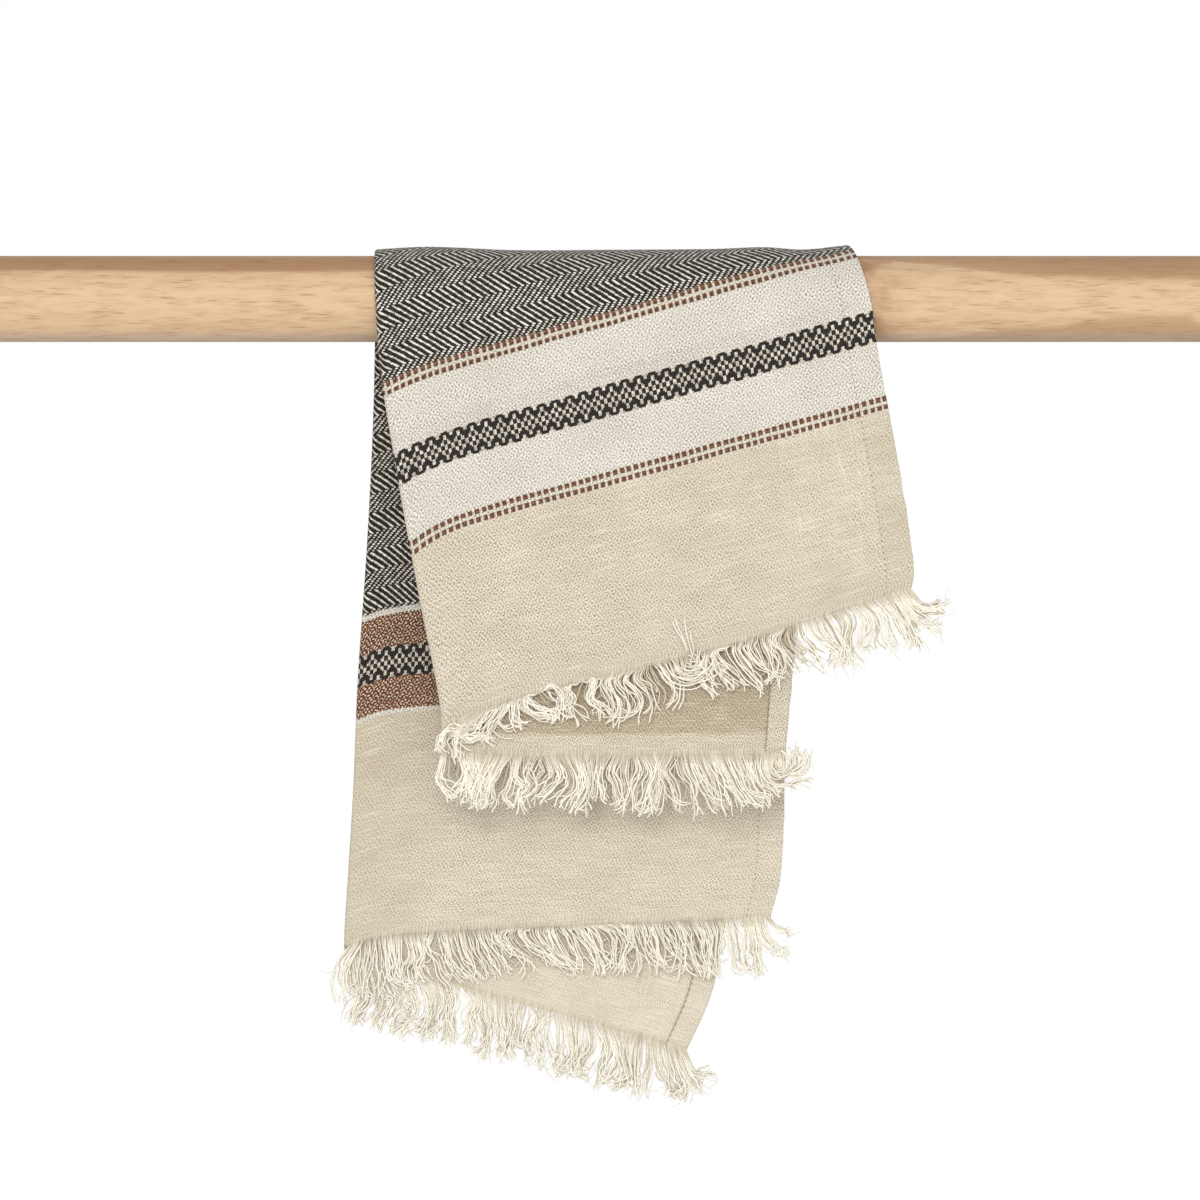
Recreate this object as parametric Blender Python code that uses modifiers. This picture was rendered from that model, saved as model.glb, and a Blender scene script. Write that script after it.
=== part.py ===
"""A fringed linen guest towel, folded lengthwise and hung over a round wooden bar.

+X runs along the bar, +Z is up, and the patterned flap of the towel hangs on the -Y side, the front.
The origin is the centre of the bar's left end face. Sizes are in millimetres until a mesh is made.

The cloth is one sheet. Its fold runs from front to back over the bar, and parts it into two layers:
the inner layer, which lies on the bar, and the outer layer, which lies over it. A place on the cloth
is a side, from -1 at the inner layer's hem over 0 at the fold to 1 at the outer layer's hem, and a
length, from 0 at the front end to CLOTH_LENGTH at the back end.
"""

from collections import namedtuple
from math import cos, exp, pi, sin

import bmesh
import bpy
from mathutils import Vector

MM = 0.001

BAR_LENGTH = 660.0
BAR_RADIUS = 21.5
BAR_SIDES = 48
BAR_CHAMFER = 1.0
BAR_MIDDLE = BAR_LENGTH / 2

CLOTH_LENGTH = 615.0
CLOTH_THICK = 1.0
HEM_THICK = 1.5
HEM_WIDE = 12.0
HEM_STEP = 1.6
LAYER_WIDE = 207.0

# The face side of the cloth is outermost on the outer layer and innermost on the inner one.
REST_GAP = 0.4
INNER_RADIUS = BAR_RADIUS + REST_GAP
OUTER_RADIUS = INNER_RADIUS + 3.0
FOLD_RADIUS = (INNER_RADIUS + OUTER_RADIUS) / 2
FOLD_DEPTH = (OUTER_RADIUS - INNER_RADIUS) / 2
FOLD_ROUND = 2.2
FOLD_SHARE = 0.015

# A way over the bar is counted from the top of the bar, and is negative at the front. The cloth
# follows the bar for a quarter turn each way, and hangs straight down past it.
QUARTER = 37.0
FOLD_FRONT_WAY = -257.0
FOLD_BACK_WAY = 362.5

# Where an edge of the towel runs, as its distance along the bar from the bar's middle.
Run = namedtuple("Run", "way across")
# How far the wefts of a layer slip from the fold point that they leave, within FOLD_PULL of the fold.
Slip = namedtuple("Slip", "length shift")
# How the outer layer rises and dips along the top of the bar.
Crest = namedtuple("Crest", "side rise")
# A soft ridge, or a trough where high is negative, that stands out from the bar.
Ridge = namedtuple("Ridge", "side way wide tall high")
# How the ends of the warp fall: lean and bow go along the bar, drop goes down, at side of the cloth.
Lock = namedtuple("Lock", "side lean drop bow")
Layer = namedtuple("Layer", "front_way back_way edge slips ridges")

FOLD_PULL = 12.0
END_SAG = 3.5
END_SAG_LENGTH = 60.0

FOLD_EDGE = [
    Run(way=-257, across=-79.5),
    Run(way=-242, across=-79.0),
    Run(way=-187, across=-89.5),
    Run(way=-127, across=-100.3),
    Run(way=-67, across=-109.5),
    Run(way=0, across=-112.6),
    Run(way=92, across=-114.4),
    Run(way=159, across=-117.6),
    Run(way=228, across=-122.3),
    Run(way=287, across=-124.8),
    Run(way=362, across=-129.5),
]

OUTER_LAYER = Layer(
    front_way=-181.5,
    back_way=415.0,
    edge=[
        Run(way=-181.5, across=154.0),
        Run(way=-175, across=155.3),
        Run(way=-150, across=152.5),
        Run(way=-100, across=144.0),
        Run(way=-66, across=137.8),
        Run(way=-39, across=134.0),
        Run(way=-14, across=127.0),
        Run(way=0, across=123.0),
        Run(way=40, across=116.0),
        Run(way=200, across=89.0),
        Run(way=375, across=59.2),
        Run(way=392, across=54.5),
        Run(way=415, across=43.9),
    ],
    slips=[
        Slip(length=0, shift=12.5),
        Slip(length=95, shift=7.5),
        Slip(length=170, shift=3.5),
        Slip(length=CLOTH_LENGTH, shift=3.5),
    ],
    ridges=[
        Ridge(side=0.60, way=-190, wide=0.34, tall=90, high=3.4),
        Ridge(side=0.80, way=-165, wide=0.07, tall=60, high=1.8),
        Ridge(side=1.00, way=-150, wide=0.10, tall=70, high=2.6),
        Ridge(side=0.55, way=260, wide=0.34, tall=120, high=3.2),
        Ridge(side=0.90, way=410, wide=0.25, tall=55, high=5.0),
    ],
)

INNER_LAYER = Layer(
    front_way=-264.0,
    back_way=347.5,
    edge=[
        Run(way=-264, across=92.0),
        Run(way=-230, across=95.0),
        Run(way=-208, across=97.0),
        Run(way=-120, across=94.0),
        Run(way=0, across=88.0),
        Run(way=120, across=90.0),
        Run(way=281, across=93.0),
        Run(way=327, across=91.0),
        Run(way=347.5, across=86.0),
    ],
    slips=[
        Slip(length=0, shift=-8.5),
        Slip(length=100, shift=-6.0),
        Slip(length=CLOTH_LENGTH, shift=-6.1),
    ],
    ridges=[
        Ridge(side=0.55, way=-230, wide=0.30, tall=70, high=-2.0),
        Ridge(side=0.95, way=-240, wide=0.12, tall=60, high=-2.4),
        Ridge(side=0.35, way=250, wide=0.18, tall=80, high=-1.6),
        Ridge(side=0.75, way=290, wide=0.16, tall=70, high=-2.4),
    ],
)

CRESTS = [
    Crest(side=0.0, rise=0.0),
    Crest(side=0.11, rise=1.2),
    Crest(side=0.30, rise=-0.5),
    Crest(side=0.50, rise=-0.3),
    Crest(side=0.72, rise=0.1),
    Crest(side=0.83, rise=1.0),
    Crest(side=0.91, rise=-0.2),
    Crest(side=1.0, rise=2.0),
]

STRIP_GAP = 0.3
STRIP_PART = 0.7
STRIP_WIDE = 3.2
LAYER_STRANDS = 44
STRAND_SHARE = 0.62
STRAND_STEPS = 3
STRAND_TIP = 0.5
STRAND_OUT = 1.5
LOCK_STRANDS = 4
LOCK_PULL = 1.0

FRONT_LOCKS = [
    Lock(side=-1.00, lean=17, drop=3, bow=0),
    Lock(side=-0.95, lean=18, drop=14, bow=-1),
    Lock(side=-0.85, lean=12, drop=27, bow=-1),
    Lock(side=-0.70, lean=8, drop=30, bow=0),
    Lock(side=-0.50, lean=1, drop=29, bow=1),
    Lock(side=-0.38, lean=-2, drop=27, bow=2),
    Lock(side=-0.25, lean=3, drop=28, bow=-1),
    Lock(side=-0.10, lean=1, drop=25, bow=1),
    Lock(side=0.00, lean=-3, drop=24, bow=0),
    Lock(side=0.04, lean=12, drop=14, bow=2),
    Lock(side=0.15, lean=16, drop=21, bow=-1),
    Lock(side=0.30, lean=8, drop=25, bow=1),
    Lock(side=0.40, lean=4, drop=28, bow=-1),
    Lock(side=0.52, lean=0, drop=31, bow=2),
    Lock(side=0.60, lean=14, drop=24, bow=-2),
    Lock(side=0.72, lean=9, drop=27, bow=-1),
    Lock(side=0.82, lean=6, drop=28, bow=1),
    Lock(side=0.92, lean=12, drop=27, bow=-1),
    Lock(side=0.97, lean=20, drop=15, bow=-1),
    Lock(side=1.00, lean=19, drop=6, bow=0),
]

BACK_LOCKS = [
    Lock(side=-1.00, lean=13, drop=6, bow=0),
    Lock(side=-0.96, lean=14, drop=16, bow=-1),
    Lock(side=-0.88, lean=11, drop=28, bow=-1),
    Lock(side=-0.70, lean=4, drop=29, bow=1),
    Lock(side=-0.55, lean=10, drop=28, bow=-1),
    Lock(side=-0.35, lean=10, drop=29, bow=1),
    Lock(side=-0.15, lean=3, drop=30, bow=-1),
    Lock(side=0.00, lean=-4, drop=27, bow=0),
    Lock(side=0.12, lean=-9, drop=29, bow=1),
    Lock(side=0.30, lean=-7, drop=28, bow=-1),
    Lock(side=0.50, lean=2, drop=31, bow=1),
    Lock(side=0.68, lean=1, drop=32, bow=-1),
    Lock(side=0.80, lean=-5, drop=30, bow=1),
    Lock(side=0.92, lean=4, drop=28, bow=-1),
    Lock(side=1.00, lean=14, drop=10, bow=0),
]

LAYER_COLUMNS = 16
COLUMN_EASE = 1.8
FOLD_COLUMNS = 5
FRONT_ROWS = 6
BAR_ROWS = 24
BACK_ROWS = 11
BAR_FROM_LENGTH = 137.0
BAR_TO_LENGTH = 313.0

LINEN = (0.70, 0.64, 0.52)
CREAM = (0.84, 0.80, 0.71)
PINE = (0.77, 0.58, 0.38)


def clear_scene():
    for thing in list(bpy.data.objects):
        bpy.data.objects.remove(thing)


def material(name, colour, roughness):
    made = bpy.data.materials.new(name)
    made.use_nodes = True
    shader = made.node_tree.nodes["Principled BSDF"]
    shader.inputs["Base Color"].default_value = (*colour, 1.0)
    shader.inputs["Roughness"].default_value = roughness
    shader.inputs["Metallic"].default_value = 0.0
    return made


def add_object(name, mesh, look, collection):
    made = bpy.data.objects.new(name, mesh)
    made.data.materials.append(look)
    collection.objects.link(made)
    return made


def follow(rows, at):
    """The value at a place, on a smooth curve through a table's rows. Past its ends the table stays level."""
    keys = [row[0] for row in rows]
    values = [row[1] for row in rows]
    if at <= keys[0]:
        return values[0]
    if at >= keys[-1]:
        return values[-1]
    right = next(i for i, key in enumerate(keys) if key > at)
    left = right - 1
    span = keys[right] - keys[left]

    def slope(i):
        before, after = max(i - 1, 0), min(i + 1, len(keys) - 1)
        return (values[after] - values[before]) / (keys[after] - keys[before])

    t = (at - keys[left]) / span
    return (
        values[left] * (2 * t**3 - 3 * t**2 + 1)
        + values[right] * (3 * t**2 - 2 * t**3)
        + span * slope(left) * (t**3 - 2 * t**2 + t)
        + span * slope(right) * (t**3 - t**2)
    )


def stand_out(layer, share, way):
    """How far the layer's ridges stand out from the bar where it hangs."""
    hanging = min(max((abs(way) - QUARTER) / QUARTER, 0.0), 1.0)
    ridges = sum(
        ridge.high * exp(-(((share - ridge.side) / ridge.wide) ** 2) - ((way - ridge.way) / ridge.tall) ** 2)
        for ridge in layer.ridges
    )
    return ridges * hanging * min(share / 0.12, 1.0)


def drape(side, length):
    """A point of the cloth's face side, in millimetres."""
    layer = OUTER_LAYER if side >= 0 else INNER_LAYER
    progress = length / CLOTH_LENGTH
    fold_way = FOLD_FRONT_WAY + progress * (FOLD_BACK_WAY - FOLD_FRONT_WAY)
    edge_way = layer.front_way + progress * (layer.back_way - layer.front_way)
    share = max((abs(side) - FOLD_SHARE) / (1 - FOLD_SHARE), 0.0)

    start = follow(FOLD_EDGE, fold_way) + FOLD_ROUND
    wide = follow(layer.edge, edge_way) - start
    shift = follow(layer.slips, length)
    pulled = 1 - exp(-share * wide / FOLD_PULL)
    way = fold_way + share * (edge_way - fold_way - shift) + shift * pulled
    if side > 0:
        way -= END_SAG * sin(pi * share**1.3) * exp(-((length / END_SAG_LENGTH) ** 2))

    turn = min(abs(side) / FOLD_SHARE, 1.0) * (pi / 2 if side >= 0 else -pi / 2)
    across = start + share * wide - FOLD_ROUND * cos(turn)
    radius = FOLD_RADIUS + FOLD_DEPTH * sin(turn) + stand_out(layer, share, way)
    if abs(way) < QUARTER:
        angle = way / QUARTER * pi / 2
        if side > 0:
            radius += follow(CRESTS, share) * cos(angle) ** 2
        return Vector((BAR_MIDDLE + across, radius * sin(angle), radius * cos(angle)))
    outward = radius if way > 0 else -radius
    return Vector((BAR_MIDDLE + across, outward, QUARTER - abs(way)))


def evenly(start, stop, steps):
    return [start + (stop - start) * i / steps for i in range(steps + 1)]


def layer_sides():
    """The sides of one layer's columns, closest together by the fold, with a short step up to the hem."""
    hem = 1 - HEM_WIDE / LAYER_WIDE
    step = hem - HEM_STEP / LAYER_WIDE
    eased = [(i / LAYER_COLUMNS) ** COLUMN_EASE for i in range(1, LAYER_COLUMNS + 1)]
    return [FOLD_SHARE + (step - FOLD_SHARE) * share for share in eased] + [hem, 1.0]


def bent_grid(sides, lengths):
    """A flat grid with a column for each side and a row for each length, bent onto the drape."""
    bm = bmesh.new()
    columns, rows = len(sides) - 1, len(lengths) - 1
    bmesh.ops.create_grid(bm, x_segments=columns, y_segments=rows, size=1.0)
    for vertex in bm.verts:
        column = round((vertex.co.x + 1) / 2 * columns)
        row = round((vertex.co.y + 1) / 2 * rows)
        vertex.co = drape(sides[column], lengths[row]) * MM
    bm.normal_update()
    return bm


def mesh_from(bm, name):
    mesh = bpy.data.meshes.new(name)
    bm.to_mesh(mesh)
    bm.free()
    mesh.shade_smooth()
    mesh.set_sharp_from_angle(angle=pi / 5)
    return mesh


def make_bar(look, collection):
    bm = bmesh.new()
    bmesh.ops.create_cone(
        bm,
        cap_ends=True,
        segments=BAR_SIDES,
        radius1=BAR_RADIUS * MM,
        radius2=BAR_RADIUS * MM,
        depth=BAR_LENGTH * MM,
    )
    bar = add_object("wooden_bar", mesh_from(bm, "wooden_bar"), look, collection)
    bar.rotation_euler = (0.0, pi / 2, 0.0)
    bar.location = (BAR_MIDDLE * MM, 0.0, 0.0)
    chamfer = bar.modifiers.new("end_chamfer", "BEVEL")
    chamfer.width = BAR_CHAMFER * MM
    chamfer.segments = 1
    chamfer.limit_method = "ANGLE"
    return bar


def make_cloth(look, collection):
    """The sheet with its face side on the drape, thickened away from the face, and most at its two hems."""
    layer = layer_sides()
    sides = mirrored(layer) + evenly(-FOLD_SHARE, FOLD_SHARE, FOLD_COLUMNS) + layer
    lengths = (
        evenly(0.0, BAR_FROM_LENGTH, FRONT_ROWS)[:-1]
        + evenly(BAR_FROM_LENGTH, BAR_TO_LENGTH, BAR_ROWS)[:-1]
        + evenly(BAR_TO_LENGTH, CLOTH_LENGTH, BACK_ROWS)
    )
    bm = bent_grid(sides, lengths)
    bm.verts.ensure_lookup_table()
    columns = len(sides)
    mesh = mesh_from(bm, "towel_cloth")
    cloth = add_object("towel_cloth", mesh, look, collection)
    hems = cloth.vertex_groups.new(name="hems")
    for vertex in mesh.vertices:
        column = vertex.index % columns
        at_hem = column in (0, 1, columns - 2, columns - 1)
        hems.add([vertex.index], 1.0 if at_hem else CLOTH_THICK / HEM_THICK, "REPLACE")
    thick = cloth.modifiers.new("thickness", "SOLIDIFY")
    thick.thickness = HEM_THICK * MM
    thick.offset = -1.0
    thick.vertex_group = "hems"
    return cloth


def mirrored(sides):
    """The same sides on the other layer, still in rising order."""
    return [-side for side in reversed(sides)]


def strand_place(count):
    """The side at a count of strands from the fold."""
    return FOLD_SHARE + (1 - FOLD_SHARE) * count / LAYER_STRANDS


def grow_strand(bm, face, lock, lead, outward):
    """Extrudes one strand from a face of the strip's rim, in steps that narrow to its tip."""
    root = face.calc_center_median()
    corners = [vertex.co - root for vertex in face.verts]
    for step in range(1, STRAND_STEPS + 1):
        u = step / STRAND_STEPS
        sideways = (lock.lean + lead) * u**1.4 + lock.bow * sin(pi * u)
        centre = root + Vector((sideways, outward * u, -lock.drop * u)) * MM
        narrow = 1 + (STRAND_TIP - 1) * u
        face = bmesh.ops.extrude_discrete_faces(bm, faces=[face])["faces"][0]
        for vertex, corner in zip(face.verts, corners):
            vertex.co = centre + corner * narrow


def lock_at(rows, side):
    """The lean, drop and bow of the strand at a side, between the table's rows."""
    parts = [follow([(row.side, row[part]) for row in rows], side) for part in (1, 2, 3)]
    return Lock(side, *parts)


def make_fringe(name, locks, at_front, outer, look, collection):
    """The fringe at one end of one layer: a narrow strip parted from the cloth's edge, with strands below it.

    The outer layer's strip goes on round the fold, up to the inner layer's strip.
    """
    strands = range(LAYER_STRANDS)
    columns = [strand_place(i + part) for i in strands for part in (0, STRAND_SHARE)] + [1.0]
    middles = [strand_place(i + STRAND_SHARE / 2) for i in strands]
    if outer:
        columns = evenly(-FOLD_SHARE, FOLD_SHARE, FOLD_COLUMNS)[:-1] + columns
        middles = [0.0] + middles
    else:
        columns[0] += STRIP_PART / LAYER_WIDE
        columns = mirrored(columns)
        middles = mirrored(middles)
    away = -1 if at_front else 1
    start = (0.0 if at_front else CLOTH_LENGTH) + away * STRIP_GAP
    rim = start + away * STRIP_WIDE
    bm = bent_grid(columns, sorted([start, rim]))
    bmesh.ops.solidify(bm, geom=bm.faces[:], thickness=CLOTH_THICK * MM)
    roots = []
    for side in middles:
        place = drape(side, rim) * MM
        roots.append(min(bm.faces, key=lambda face: (face.calc_center_median() - place).length))
    for i, (side, root) in enumerate(zip(middles, roots)):
        within = i % LOCK_STRANDS - (LOCK_STRANDS - 1) / 2
        toward = -1 if outer else 1
        outward = away * STRAND_OUT if outer else 0.0
        grow_strand(bm, root, lock_at(locks, side), toward * LOCK_PULL * within, outward)
    return add_object(name, mesh_from(bm, name), look, collection)


def main():
    clear_scene()
    collection = bpy.data.collections.new("guest_towel")
    bpy.context.scene.collection.children.link(collection)
    linen = material("linen", LINEN, 0.9)
    cream = material("cream_yarn", CREAM, 0.85)
    pine = material("pine", PINE, 0.55)
    make_bar(pine, collection)
    make_cloth(linen, collection)
    make_fringe("front_outer_fringe", FRONT_LOCKS, True, True, cream, collection)
    make_fringe("front_inner_fringe", FRONT_LOCKS, True, False, cream, collection)
    make_fringe("back_outer_fringe", BACK_LOCKS, False, True, cream, collection)
    make_fringe("back_inner_fringe", BACK_LOCKS, False, False, cream, collection)


main()
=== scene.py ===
# A fringed linen guest towel, folded lengthwise and hung over a round pine bar.
# Sizes here are in millimetres, and a mesh is scaled to metres as it is made.
# A place on the cloth is a side, from -1 at the inner layer's hem over 0 at the fold to 1 at the
# outer layer's hem, and a length, from 0 at the front end to the full length at the back end.

import random
from collections import namedtuple
from math import cos, exp, pi, sin

import bpy
import numpy as np
from mathutils import Matrix, Vector, noise


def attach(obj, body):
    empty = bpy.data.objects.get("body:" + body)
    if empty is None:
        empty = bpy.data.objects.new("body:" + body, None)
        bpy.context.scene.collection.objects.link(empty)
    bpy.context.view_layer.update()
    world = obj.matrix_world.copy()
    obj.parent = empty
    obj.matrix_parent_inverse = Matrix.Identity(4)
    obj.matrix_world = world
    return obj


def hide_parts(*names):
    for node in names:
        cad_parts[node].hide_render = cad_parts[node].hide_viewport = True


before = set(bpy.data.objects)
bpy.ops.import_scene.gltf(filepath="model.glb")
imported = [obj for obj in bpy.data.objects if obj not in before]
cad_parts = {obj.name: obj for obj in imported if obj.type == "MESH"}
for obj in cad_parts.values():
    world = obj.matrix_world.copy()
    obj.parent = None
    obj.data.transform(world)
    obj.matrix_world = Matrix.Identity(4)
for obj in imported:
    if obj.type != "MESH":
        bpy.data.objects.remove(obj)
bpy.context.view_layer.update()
print("frame loaded with", len(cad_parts), "nodes")

mm = 0.001


def srgb(red, green, blue):
    # a colour as a paint chart gives it, from 0 to 255, turned into the light it sends back
    def lit(value):
        value = value / 255
        return value / 12.92 if value <= 0.04045 else ((value + 0.055) / 1.055) ** 2.4

    return (lit(red), lit(green), lit(blue), 1.0)


# shader nodes, written like sums


class Signal:
    # a node's output, to be reckoned with like a number
    def __init__(self, socket):
        self.socket = socket

    def __add__(self, other):
        return calc("ADD", self, other)

    def __radd__(self, other):
        return calc("ADD", other, self)

    def __sub__(self, other):
        return calc("SUBTRACT", self, other)

    def __rsub__(self, other):
        return calc("SUBTRACT", other, self)

    def __mul__(self, other):
        return calc("MULTIPLY", self, other)

    def __rmul__(self, other):
        return calc("MULTIPLY", other, self)

    def __truediv__(self, other):
        return calc("DIVIDE", self, other)

    def __mod__(self, other):
        return calc("MODULO", self, other)

    def __rpow__(self, other):
        return calc("POWER", other, self)

    def __abs__(self):
        return calc("ABSOLUTE", self)


def feed(socket, value):
    if isinstance(value, Signal):
        socket.id_data.links.new(value.socket, socket)
    elif value is not None:
        socket.default_value = value


def source(tree, kind, output=0, **settings):
    # adds a shader node that needs no input, and gives one of its outputs
    node = tree.nodes.new("ShaderNode" + kind)
    for key, value in settings.items():
        setattr(node, key, value)
    return Signal(node.outputs[output])


def put(kind, *values, output=0, **settings):
    # adds a shader node beside its values, feeds its inputs in order, and gives one of its outputs
    tree = next(value.socket.id_data for value in values if isinstance(value, Signal))
    made = source(tree, kind, output, **settings)
    for socket, value in zip(made.socket.node.inputs, values):
        feed(socket, value)
    return made


def calc(operation, *values, clamp=False):
    return put("Math", *values, operation=operation, use_clamp=clamp)


def line(value, factor, start, clamp=False):
    # the value times a factor, plus a start
    return calc("MULTIPLY_ADD", value, factor, start, clamp=clamp)


def spread(value, low, high, toLow=0.0, toHigh=1.0, smooth=False):
    kind = "SMOOTHSTEP" if smooth else "LINEAR"
    return put("MapRange", value, low, high, toLow, toHigh, interpolation_type=kind)


def tint(factor, first, second, mode="MIX"):
    # from the first colour to the second, by a factor from 0 to 1
    unused = [None] * 5
    return put("Mix", factor, *unused, first, second, output=2, data_type="RGBA", blend_type=mode)


def between(value, low, high, soft=0.4):
    # 1 from low to high and 0 outside, over a soft edge
    above = line(value, 1 / soft, 0.5 - low / soft, clamp=True)
    below = line(value, -1 / soft, 0.5 + high / soft, clamp=True)
    return above * below


def scaled(vector, x, y, z=1.0):
    return put("VectorMath", vector, (x, y, z), operation="MULTIPLY")


def cloudy(vector, detail=1.0, roughness=0.5):
    # soft random values from 0 to 1 over the surface
    made = put("TexNoise", vector)
    for label, value in (("Scale", 1.0), ("Detail", detail), ("Roughness", roughness)):
        made.socket.node.inputs[label].default_value = value
    return made


def chance(first, second):
    # one random value from 0 to 1 for each pair of whole numbers
    return put("TexWhiteNoise", put("CombineXYZ", first, second), noise_dimensions="2D")


def parted(vector):
    node = put("SeparateXYZ", vector).socket.node
    return [Signal(socket) for socket in node.outputs]


def newGroup(name, inputs, outputs):
    # a node group with float inputs, but for the first, which is a vector
    group = bpy.data.node_groups.new(name, "ShaderNodeTree")
    for label, value in inputs.items():
        kind = "NodeSocketVector" if label == "Vector" else "NodeSocketFloat"
        socket = group.interface.new_socket(label, in_out="INPUT", socket_type=kind)
        if value is not None:
            socket.default_value = value
    for label in outputs:
        group.interface.new_socket(label, in_out="OUTPUT", socket_type="NodeSocketFloat")
    entry = group.nodes.new("NodeGroupInput")
    leave = group.nodes.new("NodeGroupOutput")
    return group, {label: Signal(entry.outputs[label]) for label in inputs}, leave.inputs


def useGroup(group, vector, **values):
    node = vector.socket.id_data.nodes.new("ShaderNodeGroup")
    node.node_tree = group
    feed(node.inputs["Vector"], vector)
    for label, value in values.items():
        words = "".join(" " + c if c.isupper() else c for c in label).strip()
        feed(node.inputs[words.title()], value)
    return {socket.name: Signal(socket) for socket in node.outputs}


def newMaterial(name, roughness, constants=None):
    # a material with a Principled shader, whose constants are set on the shader's own sockets
    made = bpy.data.materials.new(name)
    made.use_nodes = True
    shader = made.node_tree.nodes["Principled BSDF"]
    shader.inputs["Roughness"].default_value = roughness
    for label, value in (constants or {}).items():
        shader.inputs[label].default_value = value
    return made, made.node_tree, shader


def emboss(shader, height, distance):
    bump = shader.id_data.nodes.new("ShaderNodeBump")
    bump.inputs["Distance"].default_value = distance * mm
    feed(bump.inputs["Height"], height)
    feed(shader.inputs["Normal"], Signal(bump.outputs["Normal"]))


# how far apart the warps and the wefts lie
pitches = {"Warp Pitch": 0.862, "Weft Pitch": 0.8237}

# one cell for each crossing of a warp and a weft, with the yarns wavering a little
yarnCells, given, out = newGroup(
    "yarn cells",
    {"Vector": None, **pitches, "Waver": 0.25},
    ["Chance", "Weft Chance"],
)
across, along, _ = parted(given["Vector"])
counts = []
ways = ((across, along, "Warp Pitch", 3.1), (along, across, "Weft Pitch", 7.7))
for place, other, pitch, seed in ways:
    stretched = put("CombineXYZ", place * 0.35, other * 0.06, seed)
    drift = cloudy(stretched) - 0.5
    moved = line(drift, given["Waver"], place)
    counts.append(calc("FLOOR", moved / given[pitch]))
feed(out["Chance"], chance(*counts))
feed(out["Weft Chance"], chance(counts[1], 7.7))


# light lines that zigzag over a dark ground: one warp in four is on top, one step further in each row
herringbone, given, out = newGroup(
    "herringbone",
    {
        "Vector": None,
        **pitches,
        "Turn Rows": 12.0,
        "First Row": 3.0,
        "Shift": 1.9,
        "Lean": -0.55,
        "Line Width": 1.05,
    },
    ["Light", "Middle", "Chance"],
)
across, along, _ = parted(given["Vector"])
rows = along / given["Weft Pitch"]
row = calc("FLOOR", rows)
inRow = rows - row - 0.5
steps = calc("PINGPONG", row - given["First Row"], given["Turn Rows"])
leaning = inRow * given["Lean"] * given["Weft Pitch"]
place = across + given["Shift"] - leaning
place = place / given["Warp Pitch"] + steps
slip = line(chance(row, 5.0), 0.3, -0.15)
quarter = (place + slip) / 4.0
lineChance = chance(calc("FLOOR", quarter), row)
away = abs(calc("FRACT", quarter) - 0.5) * 8.0
wide = line(lineChance, 0.4, given["Line Width"])
feed(out["Light"], spread(wide - away, -0.45, 0.45, smooth=True))
feed(out["Middle"], spread(away, 3.1, 3.7))
feed(out["Chance"], lineChance)


# the linen's broken twill, which repeats every four warps and four wefts, as a sum of waves:
# how many waves there are in four warps and in four wefts, how strong they are and where they start
Wave = namedtuple("Wave", "warp weft strength start")
twillWaves = {
    "Face": [
        Wave(2.0, 1.0, 2.1, 0.125),
        Wave(2.0, -1.0, 1.7, -0.125),
        Wave(1.0, -2.0, 1.7, 0.125),
        Wave(1.0, 2.0, 1.2, 0.125),
        Wave(1.0, 1.0, 0.35, -0.25),
        Wave(1.0, -1.0, 0.4, 0.0),
        Wave(0.0, 2.0, 0.7, 0.0),
    ],
    "Slanting": [
        Wave(2.0, -1.0, 2.8, -0.125),
        Wave(1.0, -1.0, 1.5, 0.0),
        Wave(2.0, 1.0, 0.9, 0.125),
        Wave(1.0, 1.0, 0.8, -0.25),
    ],
}

brokenTwill, given, out = newGroup(
    "broken twill",
    {"Vector": None, **pitches, "Uneven": 0.8},
    ["Face", "Slanting"],
)
across, along, _ = parted(given["Vector"])
drift = cloudy(scaled(given["Vector"], 0.16, 0.13), 2.0) - 0.5
fours = []
for place, pitch in ((across, "Warp Pitch"), (along, "Weft Pitch")):
    moved = line(drift, 2.5, place)
    fours.append(moved / given[pitch] / 4.0)
rough = cloudy(scaled(given["Vector"], 1.5, 1.5)) - 0.5
patches = spread(cloudy(scaled(given["Vector"], 0.1, 0.13), 2.0), 0.3, 0.7)
for label in ("Face", "Slanting"):
    total = 0.0
    for wave in twillWaves[label]:
        turns = line(fours[0], wave.warp, line(fours[1], wave.weft, wave.start))
        total = line(calc("COSINE", turns * (2 * pi)), wave.strength, total)
    total = total * line(patches, 0.09, 0.088)
    feed(out[label], line(rough, given["Uneven"] * 4.0, total))


# where each border lies along the cloth, and the yarn that shows there
borders = {
    "dashes": [(91.6, 94.2), (95.8, 98.4), (169.8, 172.2), (173.7, 176.4)],
    "dashGround": [(91.3, 98.7), (169.5, 176.2)],
    "white": [(98.4, 169.8), (449.4, 452.3), (501.0, 503.0)],
    "motif": [(125.6, 141.6), (469.0, 485.0)],
    "brown": [(452.3, 469.5), (484.5, 501.0)],
    "herringbone": [(175.9, 449.4)],
    "open": [(141.6, 149.5), (0.0, 9.0), (606.0, 615.0)],
}
# the black pattern from its first to its middle weft, over eight warps; the rest mirrors it
motifRows = [
    "..####..",
    ".######.",
    ".##..##.",
    "###..###",
    "###..###",
    "##.##.##",
    "#..##..#",
    "#..##..#",
    ".##..##.",
    ".##..##.",
]


def anyOf(along, name, soft=0.35):
    # 1 in a border's bands and 0 outside
    total = 0.0
    for low, high in borders[name]:
        total = between(along, low, high, soft) + total
    return calc("MINIMUM", total, 1.0)


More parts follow.
